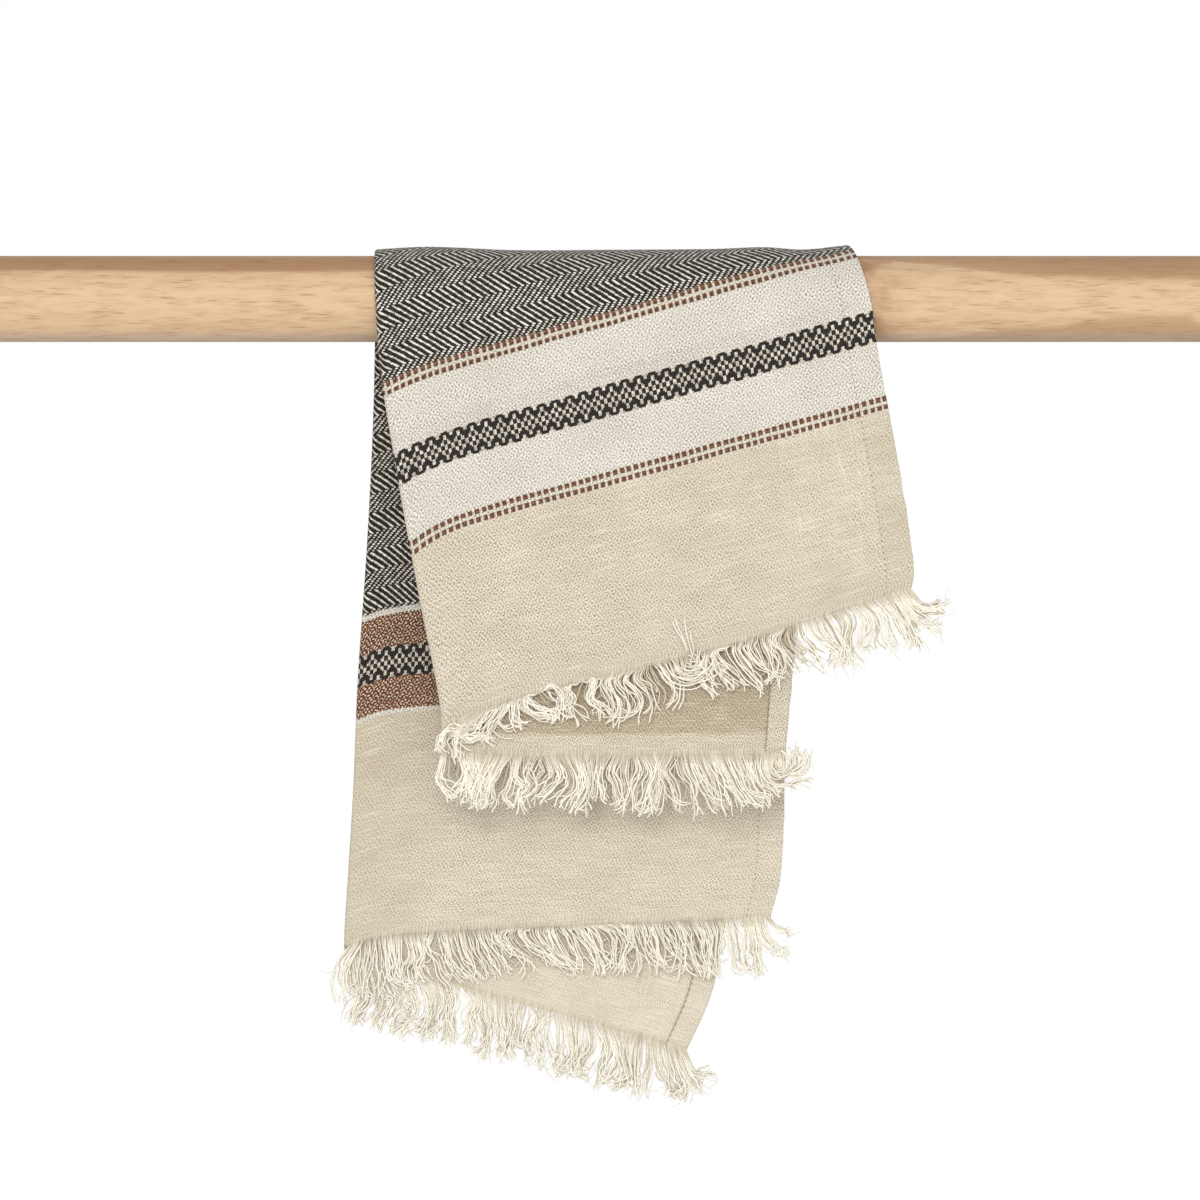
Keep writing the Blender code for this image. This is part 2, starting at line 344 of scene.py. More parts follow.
towelBorders, given, out = newGroup(
    "towel borders",
    {"Vector": None, "Warp Pitch": pitches["Warp Pitch"]},
    ["White", "Brown", "Black", "Herringbone", "Dashes", "Motif", "Open"],
)
across, along, _ = parted(given["Vector"])
along = along + line(cloudy(scaled(given["Vector"], 0.03, 0.1)), 1.6, -0.8)
across = across + line(cloudy(scaled(given["Vector"], 0.3, 0.01)), 0.9, -0.45)
warps = across / given["Warp Pitch"]
fours = line(warps, 0.25, 0.2325)
inFour = calc("FRACT", fours) * 4.0
ragged = chance(calc("FLOOR", fours), 3.0) * 0.35
dash = between(inFour - ragged, 0.55, 3.2, 0.35)
dashes = anyOf(along, "dashes") * dash
feed(out["Dashes"], anyOf(along, "dashGround"))
feed(out["White"], anyOf(along, "white"))
feed(out["Herringbone"], anyOf(along, "herringbone", 0.9))
feed(out["Brown"], calc("MAXIMUM", dashes, anyOf(along, "brown")))
feed(out["Open"], anyOf(along, "open", 1.5))

# the pattern's row, counted from its nearer end, picks a number whose bits are the row's marks
motifWefts = 2 * len(motifRows) - 1
halfRow = None
for low, high in borders["motif"]:
    row = calc("FLOOR", line(along, motifWefts / (high - low), -motifWefts * low / (high - low)))
    half = (len(motifRows) - 1.0) - abs(row - (len(motifRows) - 1.0))
    halfRow = half if halfRow is None else calc("MAXIMUM", halfRow, half)
chart = towelBorders.nodes.new("ShaderNodeValToRGB")
chart.color_ramp.interpolation = "CONSTANT"
chart.color_ramp.elements.remove(chart.color_ramp.elements[1])
for index, marks in enumerate(motifRows):
    stops = chart.color_ramp.elements
    stop = stops[0] if index == 0 else stops.new(index / len(motifRows))
    code = sum(2**bit for bit, mark in enumerate(marks) if mark == "#") / 255
    stop.color = (code, code, code, 1.0)
feed(chart.inputs[0], line(halfRow, 1 / len(motifRows), 0.5 / len(motifRows), clamp=True))
code = line(Signal(chart.outputs[0]), 255.0, 0.5)
marked = 0.0
for aside in (-0.018, 0.018):
    eights = calc("FRACT", line(warps, 0.125, 0.6575 + aside))
    column = calc("FLOOR", eights * 8.0)
    bit = calc("FLOOR", code / 2.0**column)
    marked = calc("MAXIMUM", bit % 2.0, marked)
inMotif = anyOf(along, "motif", 0.1)
feed(out["Motif"], inMotif)
feed(out["Black"], marked * inMotif)
print("weave groups made")


# the camera, the light and the floor

view = {"place": (0.33, -2.5, -0.1505), "lens": 150.0, "sensor": 36.0, "farthest": 50.0}
camera = bpy.data.objects.new("camera", bpy.data.cameras.new("camera"))
camera.data.lens = view["lens"]
camera.data.sensor_width = view["sensor"]
camera.data.clip_end = view["farthest"]
camera.location = view["place"]
camera.rotation_euler = (pi / 2, 0.0, 0.0)
bpy.context.scene.collection.objects.link(camera)
bpy.context.scene.camera = camera
bpy.context.scene.view_settings.view_transform = "Standard"

# each lamp: where it stands, what it looks at, its size in metres and its power in watts
Lamp = namedtuple("Lamp", "name place target size power")
studio = {
    "sky": 0.6,
    "lamps": [
        Lamp("front softbox", (0.15, -2.3, 0.25), (0.33, 0.0, -0.25), 0.7, 23.5),
        Lamp("front fill", (0.9, -2.2, -0.6), (0.33, 0.0, -0.2), 1.5, 11.8),
    ],
    "floorHeight": -0.75,
    "floorRadius": 1.9,
    "floorCentre": (0.33, 0.0, 0.0),
    "floorTone": (0.86, 0.86, 0.85, 1.0),
    "fadeFrom": 0.5,
    "fadeTo": 1.7,
}
for lamp in studio["lamps"]:
    light = bpy.data.objects.new(lamp.name, bpy.data.lights.new(lamp.name, "AREA"))
    light.data.size = lamp.size
    light.data.energy = lamp.power
    light.visible_camera = False
    light.location = lamp.place
    aim = Vector(lamp.target) - Vector(lamp.place)
    light.rotation_euler = aim.to_track_quat("-Z", "Y").to_euler()
    bpy.context.scene.collection.objects.link(light)

world = bpy.data.worlds.new("white studio")
bpy.context.scene.world = world
world.use_nodes = True
sky = world.node_tree.nodes["Background"]
sky.inputs["Color"].default_value = srgb(255, 255, 255)
seen = source(world.node_tree, "LightPath", "Is Camera Ray")
feed(sky.inputs["Strength"], spread(seen, 0.0, 1.0, studio["sky"], 1.0))


def addMesh(name, points, faces, materials):
    mesh = bpy.data.meshes.new(name)
    mesh.from_pydata([tuple(point) for point in points], [], faces)
    for look in materials:
        mesh.materials.append(look)
    mesh.shade_smooth()
    made = bpy.data.objects.new(name, mesh)
    bpy.context.scene.collection.objects.link(made)
    return made


def addMap(mesh, name, corners):
    # corners has one pair of numbers for each face corner
    mesh.uv_layers.new(name=name).data.foreach_set("uv", np.asarray(corners, dtype=np.float32).ravel())


def disc(radius, height, rings=12, around=96):
    middle = studio["floorCentre"]
    points = [(middle[0], middle[1], height)]
    faces = []
    for ring in range(1, rings + 1):
        for i in range(around):
            turn = 2 * pi * i / around
            far = radius * ring / rings
            points.append((middle[0] + far * cos(turn), middle[1] + far * sin(turn), height))
    for i in range(around):
        j = (i + 1) % around
        faces.append((0, 1 + i, 1 + j))
        for ring in range(rings - 1):
            inner, outer = 1 + ring * around, 1 + (ring + 1) * around
            faces.append((inner + i, outer + i, outer + j, inner + j))
    return points, faces


floorLook, tree, shader = newMaterial("pale floor", 0.9)
spot = source(tree, "TexCoord", "Object")
away = put("VectorMath", spot, studio["floorCentre"], operation="SUBTRACT")
farness = put("VectorMath", scaled(away, 1.0, 1.0, 0.0), operation="LENGTH", output="Value")
fade = spread(farness, studio["fadeFrom"], studio["fadeTo"], smooth=True)
feed(shader.inputs["Base Color"], tint(fade, studio["floorTone"], srgb(0, 0, 0)))
feed(shader.inputs["Emission Color"], tint(fade, srgb(0, 0, 0), srgb(255, 255, 255)))
shader.inputs["Emission Strength"].default_value = 1.0
shader.inputs["Specular IOR Level"].default_value = 0.0
floor = addMesh("floor", *disc(studio["floorRadius"], studio["floorHeight"]), [floorLook])
print("camera, lamps and floor made")


# the drape of the towel: a way runs along the cloth from the top of the bar, toward the back if
# positive; across is measured from the bar's middle; edge has pairs of way and across, and slips
# has pairs of length and shift
Ridge = namedtuple("Ridge", "side way wide tall high")
Layer = namedtuple("Layer", "frontWay backWay edge slips ridges")

bar = {
    "length": 660.0,
    "radius": 21.5,
    "around": 128,
    "along": 66,
    "endRound": 1.0,
    "besideEnd": 0.5,
}

towel = {
    "length": 615.0,
    "layerWidth": 207.0,
    "thickness": 0.9,
    "hemWidth": 12.0,
    "hemThickness": 1.6,
    "layerColumns": 68,
    "columnEase": 1.25,
    "foldColumns": 10,
    "rows": 232,
    "endThin": 0.85,
    "endTaper": 9.0,
    # wrinkles: their height, how many there are across a layer and how long they are, how far
    # below the bar's middle they are full, and the share of a layer next to the fold without them
    "wrinkle": 0.22,
    "wrinklesAcross": 6.5,
    "wrinkleLength": 34.0,
    "wrinkleBelow": 30.0,
    "wrinkleClear": 0.08,
    # waves along the hems and the ends: their height, and how far they reach into the cloth
    "edgeWave": 0.35,
    "hemWaveFrom": 0.94,
    "hemWaveShare": 0.06,
    "hemWaveLength": 9.0,
    "endWave": 12.0,
    "endWavesAcross": 30.0,
    "hemStep": 0.004,
    "rimFrom": 0.9975,
    "rimThin": 0.55,
}

innerRadius = bar["radius"] + 0.4
outerRadius = innerRadius + 3.0
foldRadius = (innerRadius + outerRadius) / 2
foldDepth = (outerRadius - innerRadius) / 2
foldRound = 2.2
foldShare = 0.015  # the share of a layer's width that the fold takes
quarter = 37.0  # the way from the top of the bar to its side
foldFrontWay = -257.0
foldBackWay = 362.5
foldPull = 12.0  # how far the shift of the layer reaches from the fold
endSag = 3.5
endSagLength = 60.0
seamSide = 1 - towel["hemWidth"] / towel["layerWidth"]

# the fold's own line, as pairs of way and across
foldEdge = [
    (-257, -79.5), (-242, -79.0), (-187, -89.5), (-127, -100.3), (-67, -109.5), (0, -112.6),
    (92, -114.4), (159, -117.6), (228, -122.3), (287, -124.8), (362, -129.5),
]

outerLayer = Layer(
    frontWay=-181.5,
    backWay=415.0,
    edge=[
        (-181.5, 154.0), (-175, 155.3), (-150, 152.5), (-100, 144.0), (-66, 137.8), (-39, 134.0),
        (-14, 127.0), (0, 123.0), (40, 116.0), (200, 89.0), (375, 59.2), (392, 54.5), (415, 43.9),
    ],
    slips=[(0, 12.5), (95, 7.5), (170, 3.5), (615, 3.5)],
    ridges=[
        Ridge(side=0.60, way=-190, wide=0.34, tall=90, high=3.4),
        Ridge(side=0.80, way=-165, wide=0.07, tall=60, high=1.8),
        Ridge(side=1.00, way=-150, wide=0.10, tall=70, high=2.6),
        Ridge(side=0.55, way=260, wide=0.34, tall=120, high=3.2),
        Ridge(side=0.90, way=410, wide=0.25, tall=55, high=5.0),
    ],
)

innerLayer = Layer(
    frontWay=-264.0,
    backWay=347.5,
    edge=[
        (-264, 92.0), (-230, 95.0), (-208, 97.0), (-120, 94.0), (0, 88.0), (120, 90.0), (281, 93.0),
        (327, 91.0), (347.5, 86.0),
    ],
    slips=[(0, -8.5), (100, -6.0), (615, -6.1)],
    ridges=[
        Ridge(side=0.55, way=-230, wide=0.30, tall=70, high=-2.0),
        Ridge(side=0.95, way=-240, wide=0.12, tall=60, high=-2.4),
        Ridge(side=0.35, way=250, wide=0.18, tall=80, high=-1.6),
        Ridge(side=0.75, way=290, wide=0.16, tall=70, high=-2.4),
    ],
)

# how far the outer layer stands off the top of the bar, as pairs of side and rise
crests = [
    (0.0, 0.0), (0.11, 1.2), (0.30, -0.5), (0.50, -0.3), (0.72, 0.1), (0.83, 1.0), (0.91, -0.2),
    (1.0, 2.0),
]


def follow(rows, at):
    # the value at a place, on a smooth curve through a table's rows; level past its ends
    keys = [row[0] for row in rows]
    values = [row[1] for row in rows]
    if at <= keys[0]:
        return values[0]
    if at >= keys[-1]:
        return values[-1]
    right = next(i for i, key in enumerate(keys) if key > at)
    left = right - 1
    span = keys[right] - keys[left]

    def slope(i):
        before, after = max(i - 1, 0), min(i + 1, len(keys) - 1)
        return (values[after] - values[before]) / (keys[after] - keys[before])

    t = (at - keys[left]) / span
    return (
        values[left] * (2 * t**3 - 3 * t**2 + 1)
        + values[right] * (3 * t**2 - 2 * t**3)
        + span * slope(left) * (t**3 - 2 * t**2 + t)
        + span * slope(right) * (t**3 - t**2)
    )


def standOut(layer, share, way):
    hanging = min(max((abs(way) - quarter) / quarter, 0.0), 1.0)
    ridges = 0.0
    for ridge in layer.ridges:
        aside, above = (share - ridge.side) / ridge.wide, (way - ridge.way) / ridge.tall
        ridges += ridge.high * exp(-(aside**2) - above**2)
    return ridges * hanging * min(share / 0.12, 1.0)


def drape(side, length):
    # a point of the cloth's face, without its small wrinkles
    layer = outerLayer if side >= 0 else innerLayer
    progress = length / towel["length"]
    foldWay = foldFrontWay + progress * (foldBackWay - foldFrontWay)
    edgeWay = layer.frontWay + progress * (layer.backWay - layer.frontWay)
    share = max((abs(side) - foldShare) / (1 - foldShare), 0.0)

    start = follow(foldEdge, foldWay) + foldRound
    wide = follow(layer.edge, edgeWay) - start
    shift = follow(layer.slips, length)
    pulled = 1 - exp(-share * wide / foldPull)
    way = foldWay + share * (edgeWay - foldWay - shift) + shift * pulled
    if side > 0:
        way -= endSag * sin(pi * share**1.3) * exp(-((length / endSagLength) ** 2))

    turn = min(abs(side) / foldShare, 1.0) * (pi / 2 if side >= 0 else -pi / 2)
    across = start + share * wide - foldRound * cos(turn)
    radius = foldRadius + foldDepth * sin(turn) + standOut(layer, share, way)
    if abs(way) < quarter:
        angle = way / quarter * pi / 2
        if side > 0:
            radius += follow(crests, share) * cos(angle) ** 2
        return Vector((bar["length"] / 2 + across, radius * sin(angle), radius * cos(angle)))
    outward = radius if way > 0 else -radius
    return Vector((bar["length"] / 2 + across, outward, quarter - abs(way)))


def evenly(start, stop, steps):
    return [start + (stop - start) * i / steps for i in range(steps + 1)]


# the bar

Station = namedtuple("Station", "along radius")


def makeBar(look):
    # a turned bar with softly rounded ends; a ring of points stands at each station along it
    rounded, radius, length, around = bar["endRound"], bar["radius"], bar["length"], bar["around"]
    near = bar["besideEnd"]
    flat = [Station(0.0, r) for r in (0.01, radius * 0.5, radius - rounded - near)]
    turns = evenly(0, pi / 2, 4)
    left = [Station(rounded * (1 - cos(a)), radius - rounded * (1 - sin(a))) for a in turns]
    left = flat + left + [Station(rounded + near, radius)]
    inside = [Station(x, radius) for x in evenly(rounded, length - rounded, bar["along"])[1:-1]]
    stations = left + inside + [Station(length - s.along, s.radius) for s in reversed(left)]
    points, faces = [], []
    for station in stations:
        for i in range(around):
            turn = 2 * pi * i / around
            far = station.radius
            points.append((station.along * mm, -far * sin(turn) * mm, far * cos(turn) * mm))
    for k in range(len(stations) - 1):
        for i in range(around):
            j = (i + 1) % around
            faces.append((k * around + i, k * around + j, (k + 1) * around + j, (k + 1) * around + i))
    made = addMesh("pineBar", points, faces, [look])
    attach(made, "root")
    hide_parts("wooden_bar")
    return made


pine = {
    "light": srgb(215, 184, 147),
    "late": srgb(168, 128, 91),
    "dash": srgb(150, 101, 66),
    # painted shade for the upper rim and painted reflection of the floor for the lower rim
    "rimShadeAndReflection": srgb(176, 161, 147),
    # how high the dark late wood starts above and below the light front, along the bar
    "upper": [
        (0, 12.0), (60, 12.9), (140, 12.2), (225, 12.8), (400, 19.0), (470, 18.6), (487, 17.0),
        (508, 15.0), (524, 12.5), (539, 10.6), (564, 9.6), (583, 8.8), (627, 8.4), (660, 8.0),
    ],
    "lower": [
        (0, -21.4), (440, -21.4), (485, -20.6), (506, -18.9), (521, -17.2), (538, -15.4),
        (553, -14.7), (566, -13.5), (576, -11.5), (593, -9.7), (608, -9.0), (618, -9.2),
        (627, -12.2), (640, -16.0), (660, -19.0),
    ],
}


curveHeight = 50.0  # a curve's values run from 0 to 1 over this height


def alongBar(x, places):
    # a height in millimetres that follows the places along the bar
    value = put("FloatCurve", None, x / bar["length"])
    mapping = value.socket.node.mapping
    curve = mapping.curves[0]
    spots = [(place / bar["length"], height / curveHeight + 0.5) for place, height in places]
    for spot in spots[1:-1]:
        curve.points.new(*spot)
    curve.points[0].location = spots[0]
    curve.points[len(curve.points) - 1].location = spots[-1]
    mapping.update()
    return line(value, curveHeight, -curveHeight / 2)


def pineLook():
    # the growth rings are nearly flat, and lie behind a straight cut across the light front
    made, tree, shader = newMaterial("planed pine", 0.55, {"Specular IOR Level": 0.35})
    spot = scaled(source(tree, "TexCoord", "Object"), 1 / mm, 1 / mm, 1 / mm)
    x, y, z = parted(spot)
    corners = []
    for places in (pine["upper"], pine["lower"]):
        height = alongBar(x, places)
        back = calc("SQRT", line(height * height, -1.0, bar["radius"] ** 2))
        corners.append((back * -1.0, height))
    (upperY, upperZ), (lowerY, lowerZ) = corners
    runY, runZ = lowerY - upperY, upperZ - lowerZ
    run = calc("SQRT", runY * runY + runZ * runZ)
    depth = ((y - upperY) * runZ + (z - upperZ) * runY) / run
    fibre = cloudy(scaled(spot, 0.02, 1.3, 1.3), 3.0, 0.6)
    mottle = cloudy(scaled(spot, 0.06, 0.28, 0.28), 2.0, 0.6)
    depth = depth + line(fibre, 0.5, -0.25)
    late = spread(depth, -1.2, 1.6, smooth=True) * spread(depth, 8.0, 21.0, 1.0, 0.15, smooth=True)
    late = calc("MAXIMUM", late, spread(depth, 25.0, 25.5) * spread(depth, 26.0, 32.0, 1.0, 0.2))

    # darker and mottled beside the cloth, partly a mark where the cloth rubs the bar and partly
    # painted shadow of the cloth; greyer at its upper and lower rims, where painted shade and painted
    # reflection stand for the light on the round bar
    rubbedAndShadowed = spread(x, 440.0, 455.0) * spread(x, 461.0, 487.0, 1.0, 0.0, smooth=True)
    rubbedAndShadowed = rubbedAndShadowed * spread(cloudy(scaled(spot, 0.09, 0.12, 0.12), 2.0), 0.36, 0.6, 0.15, 0.85)
    toLeft = spread(x, 225.0, 300.0, 0.95, 0.0)
    toRight = spread(x, 470.0, 560.0, 0.55, 0.85)
    late = late * (calc("MAXIMUM", toRight, toLeft) * spread(z, -4.0, 4.0, 0.7, 1.0))
    # painted shade along the upper rim and painted reflection of the pale floor along the lower rim
    rim = spread(z, -15.5, -21.5, 0.0, 0.5, smooth=True) + spread(z, 19.8, 21.4, 0.0, 0.45)
    flecks = cloudy(scaled(spot, 0.09, 4.2, 4.2), 0.0)
    dash = spread(flecks, 0.66, 0.74) * spread(mottle, 0.4, 0.55)
    base = tint(late * 0.92, pine["light"], pine["late"])
    base = tint(spread(fibre, 0.35, 0.75, 0.0, 0.16), base, pine["late"])
    base = tint(spread(mottle, 0.42, 0.68, 0.0, 0.26), base, pine["late"])
    # painted shadow of the cloth on the bar, with a mottled mark where the cloth rubs it
    base = tint(rubbedAndShadowed, base, pine["late"])
    # painted shade and painted reflection at the bar's rims
    base = tint(rim, base, pine["rimShadeAndReflection"])
    base = tint(dash * 0.8, base, pine["dash"])
    feed(shader.inputs["Base Color"], base)
    feed(shader.inputs["Roughness"], spread(fibre, 0.2, 0.8, 0.5, 0.68))
    emboss(shader, fibre - dash * 0.6, 0.05)
    return made


pineBar = makeBar(pineLook())
print("bar made")


# the towel's cloth

linen = {
    "light": srgb(252, 242, 222),
    "dark": srgb(146, 133, 108),
    "reverseLight": srgb(223, 209, 182),
    "reverseDark": srgb(134, 117, 90),
    "whiteLight": srgb(255, 251, 241),
    "whiteDark": srgb(160, 150, 137),
    "whiteHole": srgb(140, 130, 116),
    "shade": srgb(196, 183, 158),
    "root": srgb(225, 216, 196),
    "shadeBetweenRoots": srgb(190, 178, 152),
    "brown": srgb(126, 78, 50),
    "brownDark": srgb(82, 49, 30),
    "brownDot": srgb(250, 226, 200),
    "black": srgb(40, 35, 33),
    "cream": srgb(236, 229, 212),
    "boneDark": srgb(22, 19, 16),
    "boneMid": srgb(82, 75, 65),
    "boneLight": srgb(250, 244, 234),
    "boneDim": srgb(192, 183, 165),
    # the colour of the stitches, also used for the painted shadow along the turned hem's edge
    "stitch": srgb(120, 102, 80),
    "warpPitch": pitches["Warp Pitch"],
    "weftPitch": pitches["Weft Pitch"],
    "stitchPitch": 3.0,
    # how wide each layer's map is; and from where to where these lie along the cloth or across it
    "outerMap": 239.7,
    "innerMap": 214.3,
    "coarseAlong": (10.5, 300.0),
    "backAlong": (470.0, 500.0),
    "lightThroughAlong": (480.0, 560.0),
    "litThroughAcross": (180.0, 228.0),
    "pittedAlong": (12.0, 87.0),
}


# soft dark spots on the outer layer, the first two painted shade of a small hollow above the front
# fringe by the hem and the last a stain: where each lies on the map, its reach and its strength
Mark = namedtuple("Mark", "across along wide tall dark")
marks = [
    Mark(201.5, 9.0, 9.0, 6.0, 0.35),
    Mark(199.0, 20.0, 6.0, 12.0, 0.18),
    Mark(63.8, 76.9, 5.5, 2.2, 0.5),
]

# linen and yarn are matt, with a little fluff on them
fuzz = {"Specular IOR Level": 0.2, "Sheen Weight": 0.1, "Sheen Roughness": 0.6}


def linenLook(name, face):
    # the face shows the woven borders; the reverse has a coarser slanting weave and the turned hem
    made, tree, shader = newMaterial(name, 0.9, fuzz)
    place = source(tree, "UVMap", uv_map="clothMap")
    across, along, _ = parted(place)
    cells = useGroup(yarnCells, place)
    border = useGroup(towelBorders, place)
    weave = useGroup(brokenTwill, place)
    whiteWeave = useGroup(brokenTwill, place, weftPitch=0.92, uneven=0.95)
    onOuter = calc("GREATER_THAN", across, 0.0)
    wide = line(onOuter, linen["outerMap"] - linen["innerMap"], linen["innerMap"])
    edge = abs(across) / wide * towel["layerWidth"]
    seam = towel["layerWidth"] - towel["hemWidth"]
    hem = spread(edge, seam - 0.4, seam)

    # plain linen, more even next to the fringes, with dark spots that are a stain and painted shade,
    # painted light showing through the single outer layer between its threads, and painted light
    # through the lower back
    tone = cloudy(scaled(place, 0.03, 0.045), 3.0, 0.6)
    slub = cloudy(scaled(place, 0.05, 1.7))
    clear = spread(across, 40.0, 190.0, 1.0, 0.72) * (1.0 - border["Open"] * 0.2)
    stainAndShade = 0.0
    for mark in marks:
        away = put("VectorMath", place, (mark.across, mark.along, 0.0), operation="SUBTRACT")
        x, y, _ = parted(scaled(away, 1 / mark.wide, 1 / mark.tall))
        reach = x * x + y * y
        stainAndShade = stainAndShade + spread(reach, 0.0, 1.3, mark.dark, 0.0, smooth=True)
    field = weave["Face"] * (clear * spread(stainAndShade, 0.0, 0.7, 1.0, 0.5))
    toEnd = calc("MINIMUM", along, towel["length"] - along)
    ridge = calc("COSINE", line(slub, 1.2, across) * (pi / linen["warpPitch"]))
    field = line(ridge, spread(toEnd, 2.0, 6.0, 0.42, 0.0), field * spread(toEnd, 1.5, 6.0, 0.45, 1.0))
    plain = tint(spread(field, -1.0, 1.0), linen["light"], linen["dark"])
    # darker at the spots: painted shade of a small hollow, and a stain
    plain = tint(spread(stainAndShade, 0.0, 1.0), plain, linen["shade"])
    thread = calc("MAXIMUM", cloudy(scaled(place, 0.9, 0.05)), cloudy(scaled(place, 0.05, 0.9)))
    # painted light showing through the single outer layer between its threads, where no layer lies
    # behind it
    threadsLitThrough = between(across, *linen["litThroughAcross"], 16.0) * spread(along, 18.0, 32.0)
    plain = tint(threadsLitThrough * spread(thread, 0.52, 0.72, 0.0, 0.34), plain, linen["light"])
    # painted light showing through the lower back layers, stronger on the reverse
    lightThroughBack = spread(along, *linen["lightThroughAlong"], 0.0, 0.12 if face else 0.28)
    plain = tint(lightThroughBack, plain, linen["light"])
    base = plain
    if not face:
        slanting = useGroup(brokenTwill, place, warpPitch=1.035, weftPitch=0.714, uneven=0.55)
        broken = (slanting["Slanting"] + weave["Face"]) * 0.62
        coarse = tint(spread(broken, -1.0, 1.0), linen["reverseLight"], linen["reverseDark"])
        coarseAt = between(along, *linen["coarseAlong"], 2.2) * (1.0 - hem)
        base = tint(coarseAt, plain, coarse)

    # painted shade between the roots of the yarns and near the fold at the back, painted light farther
    # from the fold there, and thicker wefts here and there
    base = tint(spread(toEnd, 0.0, 4.0, 0.3, 0.0), base, linen["shadeBetweenRoots"])
    atBack = spread(along, *linen["backAlong"])
    shadeNearFold = spread(abs(across), 5.0, 55.0, 0.4, 0.0) * atBack
    base = tint(shadeNearFold, base, linen["shade"])
    base = tint(spread(slub, 0.56, 0.66) * line(atBack, 0.16, 0.22), base, linen["shade"])
    base = tint(spread(slub, 0.45, 0.33, 0.0, 0.34), base, linen["light"])
    # painted light away from the fold at the back
    base = tint(spread(abs(across), 40.0, 110.0, 0.0, 0.06) * atBack, base, linen["light"])

    # white ground of the borders, with a finer grain and a row of small holes beyond the black pattern
    white = tint(spread(whiteWeave["Face"], -1.0, 1.0), linen["whiteLight"], linen["whiteDark"])
    twoWarps = calc("FRACT", across / (2 * linen["warpPitch"]))
    twoWefts = calc("FRACT", along / (1.5 * linen["weftPitch"]))
    hole = between(twoWarps, 0.3, 0.7, 0.3) * between(twoWefts, 0.3, 0.7, 0.4)
    hole = hole * (border["Open"] * spread(cells["Chance"], 0.1, 0.7))
    white = tint(hole * 0.8, white, linen["whiteHole"])
    base = tint(border["White"], base, white)
    base = tint(border["Dashes"], base, tint(0.45, white, plain))
    base = tint(border["Motif"], base, tint(cells["Chance"], linen["cream"], linen["whiteDark"]))

    # herringbone, whose dark ground shows a little of the weave
    bone = useGroup(herringbone, place)
    speck = bone["Middle"] * spread(cells["Chance"], 0.35, 1.0)
    dark = tint(speck, linen["boneDark"], linen["boneMid"])
    dark = tint(spread(weave["Face"], 0.2, 0.9, 0.0, 0.3), dark, linen["boneMid"])
    light = tint(bone["Chance"], linen["boneDim"], linen["boneLight"])
    lines = tint(bone["Light"] if face else 1.0 - bone["Light"], dark, light)
    base = tint(border["Herringbone"], base, lines)

    # brown and black wefts, with a light dot where a warp crosses over the brown
    dots = spread(weave["Face"], 0.12, 0.55)
    dots = dots * spread(cells["Chance"], 0.0, 0.7, 0.75, 1.0)
    dots = dots * spread(border["Dashes"], 0.0, 1.0, 0.95, 0.15)
    browns = tint(cells["Weft Chance"], linen["brown"], linen["brownDark"])
    browns = tint(spread(weave["Face"], 0.1, -0.6, 0.0, 0.75), browns, linen["brownDark"])
    base = tint(border["Brown"], base, tint(dots, browns, linen["brownDot"]))
    blacks = tint(spread(cells["Chance"], 0.7, 1.0, 0.0, 0.3), linen["black"], linen["boneMid"])
    base = tint(border["Black"] if face else border["Motif"] - border["Black"], base, blacks)

    # the hem's line of stitches, a painted shadow along the turned hem's edge on the reverse, and the
    # pits between its yarns
    stitch = calc("FRACT", along / linen["stitchPitch"])
    dot = between(edge, seam - 0.3, seam + 0.3, 0.3) * between(stitch, 0.35, 0.65, 0.15)
    if not face:
        # painted shadow along the edge of the turned hem
        base = tint(between(edge, seam - 0.9, seam, 0.5) * 0.5, base, linen["stitch"])
    pits = cloudy(scaled(place, 0.75, 0.95))
    pitted = hem * onOuter * spread(pits, 0.5, 0.68, 0.12, 0.6)
    base = tint(pitted * between(along, *linen["pittedAlong"], 6.0), base, linen["shade"])
    base = tint(dot * 0.6, base, linen["stitch"])
    base = tint(spread(tone, 0.3, 0.7), tint(1.0, base, (0.9, 0.89, 0.87, 1.0), "MULTIPLY"), base)
    feed(shader.inputs["Base Color"], base)

    feed(shader.inputs["Roughness"], spread(cells["Chance"], 0.0, 1.0, 0.82, 0.95))
    emboss(shader, weave["Face"] * -1.0 - dot, 0.15)
    return made


def clothSides():
    # the sides of all columns: closest by the fold, with the step and the round edge of each hem
    count, step = towel["layerColumns"], towel["hemStep"]
    eased = [(i / count) ** towel["columnEase"] for i in range(1, count + 1)]
    layer = [foldShare + (seamSide - step - foldShare) * share for share in eased]
    layer += [seamSide, seamSide + step, 0.962, 0.98, 0.992, towel["rimFrom"], 1.0]
    fold = evenly(-foldShare, foldShare, towel["foldColumns"])
    return [-side for side in reversed(layer)] + fold + layer


def clothThickness(side):
    hem = min(max((abs(side) - seamSide + towel["hemStep"]) / towel["hemStep"], 0.0), 1.0)
    thick = towel["thickness"] + (towel["hemThickness"] - towel["thickness"]) * hem
    rim = max(abs(side) - towel["rimFrom"], 0.0) / (1 - towel["rimFrom"])
    return thick * (1 - towel["rimThin"] * rim * rim)


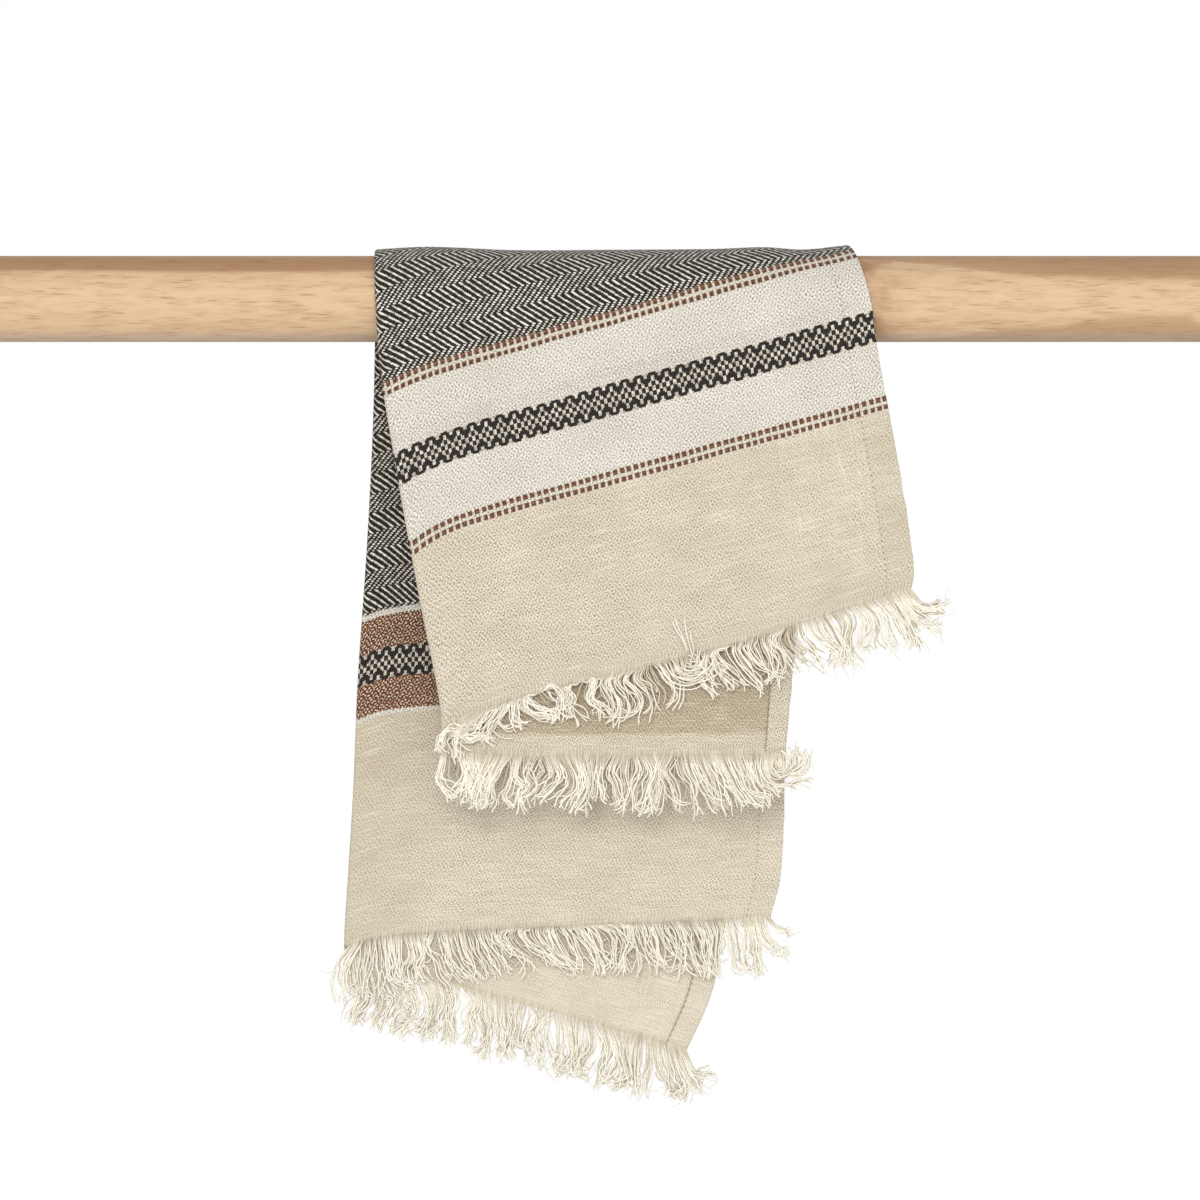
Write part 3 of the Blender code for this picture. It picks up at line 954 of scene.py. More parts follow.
def clothSkins(sides, lengths):
    # the places of the face and of the reverse, a row for each length and a column for each side
    grid = np.array([[drape(side, length) for side in sides] for length in lengths])
    normals = np.cross(np.gradient(grid, axis=1), np.gradient(grid, axis=0))
    normals /= np.linalg.norm(normals, axis=2, keepdims=True)

    # small wrinkles, larger where the cloth hangs free, and a slight wave along the hems and the ends
    for r, length in enumerate(lengths):
        for c, side in enumerate(sides):
            point = grid[r, c]
            hanging = min(max(-point[2] / towel["wrinkleBelow"], 0.0), 1.0)
            reach = min(abs(side) / towel["wrinkleClear"], 1.0)
            x, y = side * towel["wrinklesAcross"], length / towel["wrinkleLength"]
            place = Vector((x, y, 3.0 if side > 0 else 9.0))
            ripple = noise.noise(place) + 0.5 * noise.noise(place * 2.6)
            grid[r, c] = point + normals[r, c] * ripple * towel["wrinkle"] * hanging * reach
            edge = max(abs(side) - towel["hemWaveFrom"], 0.0) / towel["hemWaveShare"]
            y = length / towel["hemWaveLength"]
            wave = noise.noise(Vector((y, 5.0 * np.sign(side), 1.0)))
            grid[r, c, 0] += edge * towel["edgeWave"] * wave * hanging
            end = max(1 - min(length, towel["length"] - length) / towel["endWave"], 0.0)
            wave = noise.noise(Vector((side * towel["endWavesAcross"], 4.0, length / 200.0)))
            grid[r, c, 2] += end * towel["edgeWave"] * wave
    thick = np.array([clothThickness(side) for side in sides])[None, :, None]
    toEnd = np.array([min(length, towel["length"] - length) for length in lengths])[:, None, None]
    thinner = towel["endThin"] * np.clip(1 - toEnd / towel["endTaper"], 0, 1)
    grid = grid - normals * thick * thinner / 2
    return grid, grid - normals * thick * (1 - thinner)


def makeCloth(faceLook, reverseLook):
    # two skins, the face and the reverse, joined round the rim
    sides = clothSides()
    lengths = evenly(0.0, towel["length"], towel["rows"])
    columns, rows = len(sides), len(lengths)
    grid, reverse = clothSkins(sides, lengths)
    points = np.concatenate([grid.reshape(-1, 3), reverse.reshape(-1, 3)]) * mm
    count = rows * columns
    maps = [side * linen["outerMap" if side > 0 else "innerMap"] for side in sides]
    spots = np.array([(place, length) for length in lengths for place in maps])
    faces, looks = [], []
    for r in range(rows - 1):
        for c in range(columns - 1):
            a = r * columns + c
            face = (a, a + 1, a + 1 + columns, a + columns)
            faces += [face, tuple(i + count for i in reversed(face))]
            looks += [0, 1]
    rim = [(0, c) for c in range(columns)]
    rim += [(r, columns - 1) for r in range(1, rows)]
    rim += [(rows - 1, c) for c in range(columns - 2, -1, -1)]
    rim += [(r, 0) for r in range(rows - 2, 0, -1)]
    for (r1, c1), (r2, c2) in zip(rim, rim[1:] + rim[:1]):
        a, b = r1 * columns + c1, r2 * columns + c2
        faces.append((b, a, a + count, b + count))
        looks.append(1)
    made = addMesh("towelCloth", points, faces, [faceLook, reverseLook])
    made.data.polygons.foreach_set("material_index", looks)

    corner = np.empty(len(made.data.loops), dtype=np.int64)
    made.data.loops.foreach_get("vertex_index", corner)
    addMap(made.data, "clothMap", spots[corner % count])
    # the bake's own map: the face in its left half, the reverse in its right half, the rim above them
    inX = (np.tile(sides, rows) * 0.5 + 0.5) * 0.488 + 0.004
    inY = spots[:, 1] / towel["length"] * 0.97 + 0.004
    half = np.where(corner < count, 0.0, 0.5)
    bake = np.stack([inX[corner % count] + half, inY[corner % count]], axis=1)
    for k in range(len(rim)):
        low, high = k / len(rim), (k + 0.9) / len(rim)
        first = 4 * (len(faces) - len(rim) + k)
        bake[first : first + 4] = [(high, 0.98), (low, 0.98), (low, 0.995), (high, 0.995)]
    addMap(made.data, "OFBake", bake)
    return made, grid, reverse, sides


faceLook = linenLook("linen face", True)
reverseLook = linenLook("linen reverse", False)
towelCloth, clothFace, clothReverse, clothColumns = makeCloth(faceLook, reverseLook)
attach(towelCloth, "root")
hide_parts("towel_cloth")
print("cloth made with", len(towelCloth.data.polygons), "faces")


# the locks of each fringe, from left to right, in tenths of a millimetre: where a lock starts along
# the edge, from the bar's middle, then its first place as a distance from the middle and a height,
# then the steps that lead from place to place toward its tip
frontOuterLocks = [
    (-791, -767, -2183, -19, -44, -5, -35),
    (-702, -707, -2173, -5, -64, 34, -64),
    (-643, -673, -2153, 30, -39, 69, 14, 65, -24),
    (-584, -603, -2108, -60, -50, -69, -44),
    (-524, -509, -2059, -55, -74, -59, -55),
    (-465, -465, -2034, -44, -65, 29, -39, 50, -10),
    (-425, -425, -2039, 10, -69, 29, -45),
    (-386, -376, -2019, 50, -45, 69, -15, 49, -29),
    (-336, -356, -1990, 59, -49, 69, -15, 40, -40),
    (-297, -232, -1940, 39, -45, 0, -49, -25, -25),
    (-237, -193, -1950, 40, -45, -15, -59, 34, -40),
    (-168, -163, -1940, -5, -69, 49, -50, 60, -44),
    (-89, -20, -1911, -29, -74, 39, -54, -20, -69),
    (-20, -40, -1920, 10, -75, 60, -54, 24, -59),
    (30, 30, -1920, 39, -70, 15, -69, -49, -74),
    (79, 69, -1916, 50, -74, 29, -64, -24, -74),
    (129, 119, -1906, 54, -54, 25, -74, -35, -84),
    (168, 178, -1901, 54, -59, 20, -74, -39, -69),
    (213, 208, -1891, 49, -39, 20, -60, 30, -59),
    (247, 312, -1866, 39, -59, 15, -65, -15, -64),
    (287, 391, -1851, 54, -20, 59, 30, 35, 69),
    (445, 480, -1836, 54, -70, 60, -69),
    (495, 529, -1802, -34, -54, -60, -30, -59, 10),
    (554, 549, -1787, 30, -69, 59, -60, 25, -34),
    (594, 574, -1777, 59, -74, 69, -50, 40, -19),
    (653, 683, -1762, 59, -79, 59, -60, 45, -54),
    (712, 732, -1752, 45, -70, 54, -64, 30, -64),
    (772, 811, -1742, 30, -75, 25, -64, -5, -69),
    (821, 846, -1733, 24, -69, 20, -69, 20, -59),
    (880, 870, -1703, 45, -59, 25, -74, -15, -80),
    (940, 974, -1703, 55, -59, 44, -50, 30, -69),
    (989, 1053, -1673, 60, -55, 44, -54, 20, -69),
    (1049, 1123, -1663, 49, -65, 30, -59, -10, -64),
    (1118, 1197, -1643, 20, -75, 19, -64, 30, -54),
    (1177, 1241, -1624, -14, -79, 34, -69, 65, -45),
    (1236, 1316, -1594, 0, -69, -40, -65, 40, -59),
    (1296, 1385, -1574, 25, -69, 14, -75, 25, -54),
    (1365, 1449, -1564, 40, -70, 29, -69, -19, -49),
    (1415, 1484, -1559, 49, -70, 15, -74, -10, -44),
    (1454, 1533, -1545, 60, -59, 69, -30, 39, -9),
    (1489, 1558, -1520, 64, -25, 60, 20, 14, 45),
]
frontInnerLocks = [
    (-843, -788, -2348, -5, -54, 40, -55, 39, -49),
    (-744, -679, -2313, 15, -50, -15, -59, -20, -60),
    (-704, -644, -2353, 24, -64, -19, -74),
    (-644, -610, -2363, -15, -74, -19, -74),
    (-575, -575, -2358, -35, -69, -20, -69, -9, -40),
    (-496, -525, -2368, -35, -74, -10, -64, 5, -45),
    (-461, -501, -2358, -29, -69, 24, -69, -19, -65),
    (-436, -431, -2372, -15, -60, -30, -59, 5, -55),
    (-411, -426, -2368, 49, -59, -25, -35, 20, -109),
    (-382, -367, -2363, 30, -59, -35, -50, -20, -54),
    (-347, -362, -2363, 10, -59, -45, -60, -5, -54),
    (-297, -248, -2358, -20, -39, -44, -65, -35, -64),
    (-248, -198, -2363, -20, -54, -50, -55, -44, -49),
    (-208, -149, -2363, 0, -64, -49, -55, -15, -54),
    (-169, -109, -2363, 0, -69, -50, -64, -39, -45),
    (-129, -79, -2368, 0, -74, -40, -64, -35, -55),
    (-89, -55, -2372, -4, -85, -40, -64, -35, -40),
    (-50, -55, -2372, -4, -90, -15, -59, -40, -40),
    (-20, -5, -2382, 20, -75, 35, -59),
    (20, -5, -2348, -15, -64, 5, -60, -5, -29),
    (59, 59, -2358, 25, -69, 0, -69, -20, -65),
    (109, 119, -2363, 20, -74, -15, -69, -45, -55),
    (159, 193, -2348, -29, -79, -5, -84, 10, -75),
    (198, 258, -2358, -20, -74, -20, -79, -20, -70),
    (248, 302, -2353, -5, -79, -9, -79, 9, -85),
    (288, 278, -2358, -30, -79, 10, -64, -10, -65),
    (327, 317, -2358, 35, -64, 20, -64, 44, -70),
    (377, 416, -2358, 40, -69, 25, -79, 25, -85),
    (426, 481, -2358, 44, -69, 30, -64, 30, -60),
    (486, 540, -2353, 40, -74, 20, -74, 30, -75),
    (535, 600, -2353, 44, -69, 35, -69, 30, -60),
    (595, 654, -2353, 40, -69, 35, -74, 10, -80),
    (654, 714, -2348, 30, -74, 34, -64, 25, -60),
    (714, 763, -2348, 30, -69, 30, -65, 25, -59),
    (773, 788, -2338, 25, -64, 45, -45, 39, -39),
    (808, 823, -2353, 40, -64, 79, 0, 79, 35, 40, 0),
    (833, 843, -2333, 34, -39, 55, 19, 54, 65, 15, 64),
    (872, 907, -2328, 50, -30, 64, 45, 25, 74),
]
backInnerLocks = [
    (-1362, -1327, -3336, -25, -91, 5, -126),
    (-1251, -1281, -3336, -20, -91, 20, -116),
    (-1200, -1180, -3326, -26, -96, -25, -116),
    (-1150, -1110, -3326, 0, -86, -45, -95),
    (-1100, -1054, -3321, 5, -86, 40, -85),
    (-1039, -1014, -3316, 5, -91, 30, -85),
    (-999, -948, -3296, -31, -70, 31, -111),
    (-948, -903, -3296, -20, -70, 40, -81),
    (-908, -883, -3286, -20, -60, 35, -86),
    (-868, -873, -3250, 46, -51, 35, -90, 61, -56),
    (-827, -782, -3265, 30, -86, 51, -91),
    (-777, -726, -3275, 45, -91, 51, -66),
    (-716, -666, -3265, 51, -86, 45, -71),
    (-656, -595, -3255, 55, -81, 46, -76),
    (-595, -540, -3240, 51, -86, 35, -70),
    (-545, -509, -3210, 40, -40, 55, -56),
    (-474, -479, -3200, 35, -60, 91, -46, 81, -45),
    (-404, -393, -3190, 40, -60, 76, -46, 65, -35),
    (-333, -298, -3195, 56, -80, 55, -71, 46, -35),
    (-272, -242, -3195, 55, -85, 51, -76, 20, -40),
    (-212, -161, -3190, 45, -96, 40, -95),
    (-161, -96, -3185, 56, -85, 25, -61, -5, -71),
    (-101, -30, -3170, 40, -65, 5, -71, -25, -90),
    (-50, 30, -3164, 46, -71, -10, -71, -36, -70),
    (0, 86, -3154, 45, -71, -20, -81, -10, -96),
    (61, 141, -3164, 10, -71, -35, -71, 25, -101),
    (121, 156, -3164, 5, -56, 41, -81, 30, -111),
    (171, 217, -3164, 15, -71, 35, -91, 26, -70),
    (222, 262, -3175, 26, -70, 5, -76, -5, -70),
    (272, 318, -3175, 40, -70, 35, -76, 16, -86),
    (333, 388, -3175, 21, -75, 0, -86, -5, -91),
    (383, 439, -3185, 25, -75, 20, -76, 20, -71),
    (444, 509, -3185, 16, -75, 0, -81, 0, -86),
    (504, 560, -3185, 5, -85, -10, -76, 15, -71),
    (565, 605, -3190, -10, -85, 0, -71, 15, -71),
    (615, 661, -3200, 10, -75, 5, -71, 0, -61),
    (676, 736, -3195, 5, -80, 0, -71, 16, -71),
    (736, 782, -3200, 10, -75, 0, -76, -5, -76),
    (787, 822, -3185, 35, -45, 51, -35, 50, -26),
    (827, 893, -3159, 45, -16, 35, -25),
]
backOuterLocks = [
    (-1365, -1233, -3426, 30, -75, -40, -76, -31, -61),
    (-1203, -1132, -3451, 30, -76, -35, -80, -20, -71),
    (-1112, -1036, -3466, 35, -66, -40, -86, -30, -85),
    (-1031, -955, -3491, 25, -76, -56, -81, -45, -71),
    (-950, -869, -3506, 20, -81, -41, -71, -50, -40),
    (-869, -809, -3516, -15, -81, -20, -81, -20, -86),
    (-809, -748, -3527, -20, -80, -10, -81, -26, -66),
    (-748, -758, -3542, 0, -71, 20, -60, 46, -61),
    (-697, -632, -3542, -30, -71, 10, -65, -15, -81),
    (-627, -596, -3597, 25, -81, -15, -86, -51, -56),
    (-576, -541, -3613, -15, -80, -35, -66, -36, -46),
    (-526, -495, -3633, 15, -76, -15, -70, -10, -51),
    (-475, -440, -3643, -20, -76, -20, -70, 5, -61),
    (-435, -435, -3633, -5, -65, 36, -56, 40, -15),
    (-364, -318, -3633, -46, -65, -15, -71, -5, -76),
    (-313, -334, -3673, 11, -66, 15, -71, -5, -75),
    (-253, -202, -3714, -15, -80, -26, -71, 41, -66),
    (-192, -136, -3729, 0, -76, -31, -65, 0, -66),
    (-131, -111, -3744, -10, -71, 0, -70, 40, -71),
    (-81, -40, -3754, -41, -71, -30, -55, -20, -51),
    (-20, 40, -3754, -10, -76, -20, -76, 5, -86),
    (30, 91, -3774, -5, -76, -35, -76, -31, -66),
    (81, 116, -3805, 20, -75, 6, -66, -16, -66),
    (131, 136, -3820, 21, -76, -46, -65, -50, -41),
    (182, 187, -3830, -5, -76, 5, -60, 10, -56),
    (222, 248, -3845, -16, -76, -10, -60, 16, -56),
    (263, 293, -3850, 25, -71, 26, -60, 25, -56),
    (303, 349, -3870, 30, -66, 20, -51, 15, -45),
    (344, 399, -3880, 31, -66, 10, -51, 5, -50),
    (384, 445, -3885, 40, -61, 56, -46),
    (414, 470, -3890, 56, -6, 70, 31),
]


# the fringes

yarn = {
    "radius": 0.39,
    "rootRadius": 0.2,
    "rootSteps": 8,
    "tipShare": 0.35,
    "spacing": 0.64,
    "sides": 5,
    "steps": 24,
    "plyTurn": 1.9,
    "rootIn": 3.4,
    "tipGather": 0.76,
    "cornerGather": 1.7,
    "cornerLocks": 2,
    "fullLocks": 9,
    "looseShare": 0.44,
    "looseGather": 1.15,
    "looseReach": 0.8,
    # the back fringes are gathered less, have fewer loose yarns and lie less in shade
    "backGather": 0.7,
    "backLoose": 0.6,
    "backShade": 0.7,
    "sway": 0.75,
    "swayWaves": (9.0, 17.0),
    "curlFrom": 0.62,
    "lockCurl": 1.1,
    "curl": 0.45,
    "strayShare": 0.05,
    "strayBend": 6.0,
    "neighbourShare": 0.22,
    "tuftDepth": 5.0,
    "tuftSteps": 12,
    "tuftShade": 0.1,
    "hairRadius": 0.11,
    "hairShare": 0.4,
    "hairSteps": 7,
    "hairSides": 3,
    "bend": 0.9,
    # the least and the most of a random factor on the values above
    "varySway": (0.3, 1.3),
    "varyStray": (0.5, 1.0),
    "varyLockGather": (0.6, 1.35),
    "varyGather": (0.75, 1.25),
    "varyLooseGather": (0.85, 1.1),
    "varyLooseReach": (0.7, 1.2),
    "varyBetween": (0.7, 1.3),
    "varyRootIn": (0.55, 1.1),
    "varyRadius": (0.85, 1.15),
    # the least and the most of each yarn's own value
    "reach": (0.86, 1.04),
    "lift": (0.2, 3.0),
    "looseLift": (-0.6, 0.3),
    "arch": (-0.2, 1.1),
    "tone": (0.0, 0.7),
    "looseShade": (0.6, 1.0),
    "hairTurn": (-1.2, 1.2),
    "hairSpin": (-0.35, 0.35),
    "hairAside": (-0.2, 0.2),
    "hairStep": (0.7, 1.1),
    "cream": srgb(255, 251, 237),
    "shade": srgb(216, 204, 180),
    "hollow": srgb(152, 134, 104),
}


def yarnLook():
    # two plies twisted together, a little fluffy, with painted shade at its sides and painted shade on
    # the yarns that lie behind other yarns
    made, tree, shader = newMaterial("cream yarn", 0.85, {**fuzz, "Sheen Roughness": 0.5})
    around, along, _ = parted(source(tree, "UVMap", uv_map="yarnMap"))
    # the tone is painted shade, deepest on the yarns that lie behind the others
    tone, toTip, _ = parted(source(tree, "UVMap", uv_map="shadeMap"))
    number = calc("FLOOR", around / 2.0)
    inTurn = around - number * 2.0
    turn = line(along, 1 / yarn["plyTurn"], inTurn)
    ply = calc("PINGPONG", turn * 2.0, 1.0)
    atSide = abs(calc("FRACT", inTurn * 2.0) - 0.5)
    fluff = cloudy(scaled(put("CombineXYZ", around, along, number), 1.6, 1.6, 1.6), 2.0)
    # painted shade on yarns that lie behind other yarns, most toward their roots
    behind = spread(tone, 0.3, 1.0, 0.0, 0.35) * spread(toTip, 0.2, 0.9, 1.0, 0.2)
    base = tint(spread(ply, 0.0, 0.4, 0.2, 0.0), yarn["cream"], yarn["shade"])
    base = tint(tone, base, yarn["shade"])
    base = tint(spread(fluff, 0.35, 0.6, 0.1, 0.0), base, yarn["hollow"])
    base = tint(spread(along, 2.5, 7.0, 0.85, 0.0), base, linen["root"])
    # painted shade between the roots, on about half of the yarns at random
    base = tint(spread(along, 3.0, 7.0, 0.8, 0.0) * chance(number, 2.0), base, linen["shadeBetweenRoots"])
    # painted shade along the sides of each yarn, where its round turns from the light
    base = tint(spread(atSide, 0.3, 0.5, 0.0, 0.55), base, yarn["hollow"])
    base = tint(behind, base, yarn["hollow"])
    feed(shader.inputs["Base Color"], base)
    feed(shader.inputs["Roughness"], spread(fluff, 0.3, 0.7, 0.78, 0.92))
    emboss(shader, ply + fluff * 0.5, 0.06)
    return made


def throughPoints(points, share):
    # a place on a smooth curve through the points, at a share of the way
    count = len(points) - 1
    spot = min(share * count, count - 1e-6)
    k = int(spot)
    t = spot - k
    before = points[k - 1] if k else points[0] * 2 - points[1]
    after = points[k + 2] if k + 2 <= count else points[count] * 2 - points[count - 1]
    a, b = points[k], points[k + 1]
    bent = (2 * before - 5 * a + 4 * b - after) * t**2
    return 0.5 * (2 * a + (b - before) * t + bent + (3 * a - 3 * b + after - before) * t**3)


def edgePlace(side, atFront):
    # the middle of the cloth's edge at a side, and the direction in which the warp leaves it
    def at(row):
        skins = (clothFace[row], clothReverse[row])
        places = [[np.interp(side, clothColumns, skin[:, i]) for i in range(3)] for skin in skins]
        return np.mean(places, axis=0)

    place = at(0 if atFront else -1)
    away = place - at(3 if atFront else -4)
    return Vector(place), Vector(away / np.linalg.norm(away))


def tube(path, radius, rootShare, sides, points, faces):
    # adds a thin tube along a path, thinner at its root, with a ring of points at each step
    first = len(points)
    up = Vector((0.0, 1.0, 0.0))
    for k, place in enumerate(path):
        ahead = path[min(k + 1, len(path) - 1)] - path[max(k - 1, 0)]
        ahead.normalize()
        beside = ahead.cross(up).normalized()
        up = beside.cross(ahead).normalized()
        atTip = k == len(path) - 1
        full = min(rootShare + (1 - rootShare) * k / yarn["rootSteps"], 1.0)
        narrow = radius * (yarn["tipShare"] if atTip else full)
        for i in range(sides):
            turn = 2 * pi * i / sides
            points.append(place + (beside * cos(turn) + up * sin(turn)) * narrow)
    for k in range(len(path) - 1):
        for i in range(sides):
            j = (i + 1) % sides
            a, b = first + k * sides, first + (k + 1) * sides
            faces.append((a + i, a + j, b + j, b + i))
    last = first + (len(path) - 1) * sides
    faces.append(tuple(last + i for i in reversed(range(sides))))


def yarnSides(outer):
    # a side for each warp end, twice as many where the hem is folded
    pitch = yarn["spacing"] * linen["warpPitch"] / linen["outerMap" if outer else "innerMap"]
    side, sides = (pitch * 0.5 if outer else foldShare + pitch), []
    while side < 0.998:
        sides.append(side)
        side += pitch if side < seamSide else pitch * 0.5
    return sides if outer else [-s for s in sides]


def lockRoots(starts, atFront, outer):
    # where the yarns of each lock leave the edge, and in which direction
    roots = {}
    for side in yarnSides(outer):
        place, away = edgePlace(side, atFront)
        lock = max(sum(start <= place.x - bar["length"] / 2 for start in starts) - 1, 0)
        roots.setdefault(lock, []).append((place, away))
    return roots


def onCloth(way):
    # places given from the bar's middle, as flat vectors
    return [Vector((x + bar["length"] / 2, z)) for x, z in way]


def curled(path, steps, angle):
    # turns the end of a flat path into a hook, more and more toward its tip
    first = int(steps * yarn["curlFrom"])
    turned = path[: first + 1]
    for k in range(first + 1, len(path)):
        share = (k - first) / (len(path) - 1 - first)
        part = path[k] - path[k - 1]
        part.rotate(Matrix.Rotation(angle * share**1.3, 2))
        turned.append(turned[-1] + part)
    return turned


def yarnPath(guide, root, gather, reach, curl, luck):
    # the flat path of one yarn beside its lock's guide, with its own sway, strays and curl
    offset = root - guide[0]
    start = (throughPoints(guide, 0.04) - guide[0]).normalized()
    beside = offset.dot(Vector((-start.y, start.x)))
    onward = offset.dot(start)
    slow, fast = yarn["swayWaves"]
    phases = luck.uniform(0, 2 * pi), luck.uniform(0, 2 * pi)
    sway = yarn["sway"] * luck.uniform(*yarn["varySway"])
    bend = luck.gauss(0, yarn["bend"])
    if luck.random() < yarn["strayShare"]:
        bend = yarn["strayBend"] * luck.choice((-1, 1)) * luck.uniform(*yarn["varyStray"])
    path = []
    for step in range(yarn["steps"] + 1):
        t = step / yarn["steps"]
        s = min(t * reach, 1.0)
        ahead = throughPoints(guide, min(s + 0.03, 1.0))
        behind = throughPoints(guide, max(s - 0.03, 0.0))
        tangent = (ahead - behind).normalized()
        across = Vector((-tangent.y, tangent.x))
        width = 1 + (gather - 1) * min(s / 0.8, 1.0) ** 1.3
        spot = throughPoints(guide, s) + across * beside * width + tangent * onward * (1 - s)
        spot += (offset - across * beside - tangent * onward) * max(1 - s * 6, 0.0)
        wave = sin(phases[0] + s * slow) + 0.6 * sin(phases[1] + s * fast)
        spot += across * (sway * wave * min(s * 2.2, 1.0) + bend * s**1.6)
        path.append(spot)
    return curled(path, yarn["steps"], curl)


def blended(guide, other, share):
    # a guide between two guides
    places = evenly(0.0, 1.0, 6)
    return [throughPoints(guide, s) * (1 - share) + throughPoints(other, s) * share for s in places]


def hairPath(path, luck):
    # a short hair that leaves the outer half of a yarn
    start = luck.randrange(len(path) // 2, len(path) - 1)
    heading = (path[start + 1] - path[start]).normalized()
    turn, spin = luck.uniform(*yarn["hairTurn"]), luck.uniform(*yarn["hairSpin"])
    hair = [path[start]]
    for step in range(yarn["hairSteps"]):
        c, s = cos(turn + spin * step), sin(turn + spin * step)
        x, z = heading.x * c - heading.z * s, heading.x * s + heading.z * c
        way = Vector((x, luck.uniform(*yarn["hairAside"]), z))
        hair.append(hair[-1] + way * luck.uniform(*yarn["hairStep"]))
    return hair


def tuftPath(way, roots):
    # a yarn that rises in front of the cloth from the root nearest to it
    flat = onCloth(way)
    places = [place for members in roots.values() for place, _ in members]
    place = min(places, key=lambda spot: abs(spot.x - flat[0].x))
    path = []
    for k in range(yarn["tuftSteps"] + 1):
        spot = throughPoints(flat, k / yarn["tuftSteps"])
        path.append(Vector((spot.x, place.y - yarn["tuftDepth"] * min(k / 4, 1.0), spot.y)))
    return path


# a strand's tone is the painted shade on its yarn
Strand = namedtuple("Strand", "path radius sides tone")


def lockStrands(k, roots, centres, guides, atFront, outer, luck):
    # the yarns of one lock between the locks' guides, some loose ones shorter and behind the others
    strands = []
    lockGather = yarn["tipGather"] * luck.uniform(*yarn["varyLockGather"])
    lockGather *= 1.0 if atFront else yarn["backGather"]
    lockGather *= yarn["cornerGather"] if k < yarn["cornerLocks"] else 1.0
    lockCurl = yarn["lockCurl"] * luck.uniform(-1.0, 1.0)
    for place, away in roots[k] * (2 if atFront and k < yarn["fullLocks"] else 1):
        guide = guides[k]
        nextLock = k + (1 if place.x > centres[k].x else -1)
        if nextLock in centres and luck.random() < yarn["neighbourShare"]:
            guide = guides[nextLock]
        loose = luck.random() < yarn["looseShare"] * (1.0 if atFront else yarn["backLoose"])
        if loose and nextLock in centres:
            share = abs((place.x - centres[k].x) / (centres[nextLock].x - centres[k].x))
            share = min(share * luck.uniform(*yarn["varyBetween"]), 1.0)
            guide = blended(guides[k], guides[nextLock], share)
        if loose:
            gather = yarn["looseGather"] * luck.uniform(*yarn["varyLooseGather"])
            reach = yarn["looseReach"] * luck.uniform(*yarn["varyLooseReach"])
        else:
            gather = lockGather * luck.uniform(*yarn["varyGather"])
            reach = luck.uniform(*yarn["reach"])
        curl = lockCurl + luck.gauss(0, yarn["curl"])
        flat = yarnPath(guide, Vector((place.x, place.z)), gather, reach, curl, luck)
        lift = luck.uniform(*yarn["looseLift" if loose else "lift"])
        outward = luck.choice((-1.0, 1.0)) if outer and not atFront else -1.0
        # a yarn's tone is painted shade: deep on the loose yarns behind the others, slight and at
        # random on the rest
        tone = luck.uniform(*yarn["looseShade"]) if loose else luck.uniform(*yarn["tone"]) ** 2
        tone *= 1.0 if atFront else yarn["backShade"]
        arch = luck.uniform(*yarn["arch"])
        rootIn = yarn["rootIn"] * luck.uniform(*yarn["varyRootIn"])
        path = [place - away * rootIn, place - away * rootIn * 0.5]
        for step, spot in enumerate(flat):
            t = step / yarn["steps"]
            depth = outward * (lift * min(t * 1.6, 1.0) + arch * sin(pi * t))
            path.append(Vector((spot.x, place.y + depth, spot.y)))
        radius = yarn["radius"] * luck.uniform(*yarn["varyRadius"])
        strands.append(Strand(path, radius, yarn["sides"], tone))
        if luck.random() < yarn["hairShare"]:
            strands.append(Strand(hairPath(path, luck), yarn["hairRadius"], yarn["hairSides"], 0.0))
    return strands


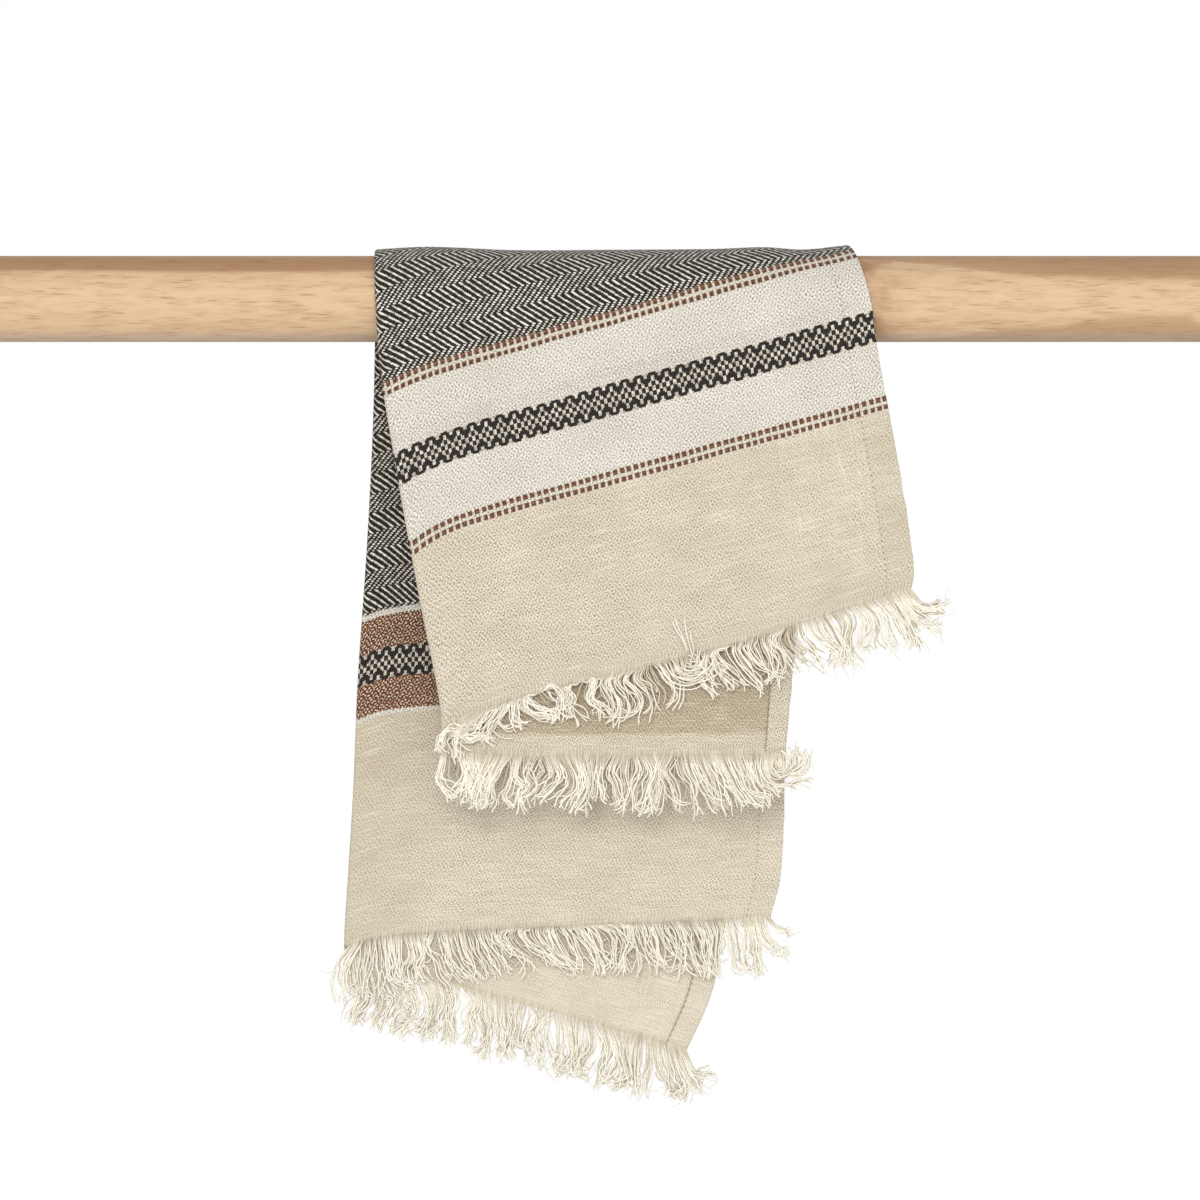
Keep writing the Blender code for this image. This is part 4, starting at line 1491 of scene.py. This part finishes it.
def fringeMesh(name, strands, look):
    # a tube for each strand, with maps for the twist and the painted shade, and the bake's own map
    points, faces, corners, behindShades, bake = [], [], [], [], []
    for number, (path, radius, sides, tone) in enumerate(strands):
        rootShare = 1.0 if sides == yarn["hairSides"] else yarn["rootRadius"] / yarn["radius"]
        tube([spot * mm for spot in path], radius * mm, rootShare, sides, points, faces)
        total = sum((b - a).length for a, b in zip(path, path[1:]))
        left, wide, steps = number / len(strands), 0.86 / len(strands), len(path) - 1
        for k in range(steps):
            for i in range(sides):
                low, high = k / steps, (k + 1) / steps
                for a, b in ((i, low), (i + 1, low), (i + 1, high), (i, high)):
                    corners.append((number * 2 + a / sides, b * total))
                    behindShades.append((tone, b))
                    bake.append((left + wide * a / sides, b * 0.97))
        for i in range(sides):
            turn = 2 * pi * i / sides
            corners.append((number * 2 + i / sides, total))
            behindShades.append((tone, 1.0))
            bake.append((left + wide * (0.5 + 0.4 * cos(turn)), 0.985 + 0.006 * sin(turn)))
    made = addMesh(name, points, faces, [look])
    addMap(made.data, "yarnMap", corners)
    addMap(made.data, "shadeMap", behindShades)
    addMap(made.data, "OFBake", bake)
    print(name, "made with", len(strands), "yarns and hairs and", len(faces), "faces")
    return made


def makeFringe(name, node, rows, atFront, outer, seed, look, tufts=()):
    luck = random.Random(seed)
    roots = lockRoots([row[0] / 10 for row in rows], atFront, outer)
    centres, guides = {}, {}
    for k, members in roots.items():
        centres[k] = sum((place for place, _ in members), Vector()) / len(members)
        way = np.cumsum(np.reshape(rows[k][1:], (-1, 2)), axis=0) / 10
        guides[k] = [Vector((centres[k].x, centres[k].z))] + onCloth(way.tolist())
    strands = []
    for k in sorted(roots):
        strands += lockStrands(k, roots, centres, guides, atFront, outer, luck)
    for way in tufts:
        strands.append(Strand(tuftPath(way, roots), yarn["radius"], yarn["sides"], yarn["tuftShade"]))
    made = fringeMesh(name, strands, look)
    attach(made, "root")
    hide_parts(node)
    return made


# yarns that stand up in front of the cloth, as distances from the bar's middle and heights
frontTufts = [
    [(44.5, -180.2), (43.5, -175.2), (41.1, -169.3), (38.6, -163.9), (36.6, -158.9)],
    [(45.0, -180.2), (44.5, -174.2), (43.0, -168.3), (42.1, -163.4), (41.6, -159.2)],
    [(43.4, -180.6), (42.8, -175.6), (40.9, -170.4), (38.0, -166.0), (35.4, -160.6)],
    [(45.6, -180.4), (46.2, -174.6), (45.0, -169.4), (44.4, -166.0)],
]

creamYarn = yarnLook()
fringes = [
    makeFringe(
        "frontOuterYarns", "front_outer_fringe", frontOuterLocks, True, True, 11, creamYarn, frontTufts
    ),
    makeFringe("frontInnerYarns", "front_inner_fringe", frontInnerLocks, True, False, 12, creamYarn),
    makeFringe("backOuterYarns", "back_outer_fringe", backOuterLocks, False, True, 13, creamYarn),
    makeFringe("backInnerYarns", "back_inner_fringe", backInnerLocks, False, False, 14, creamYarn),
]
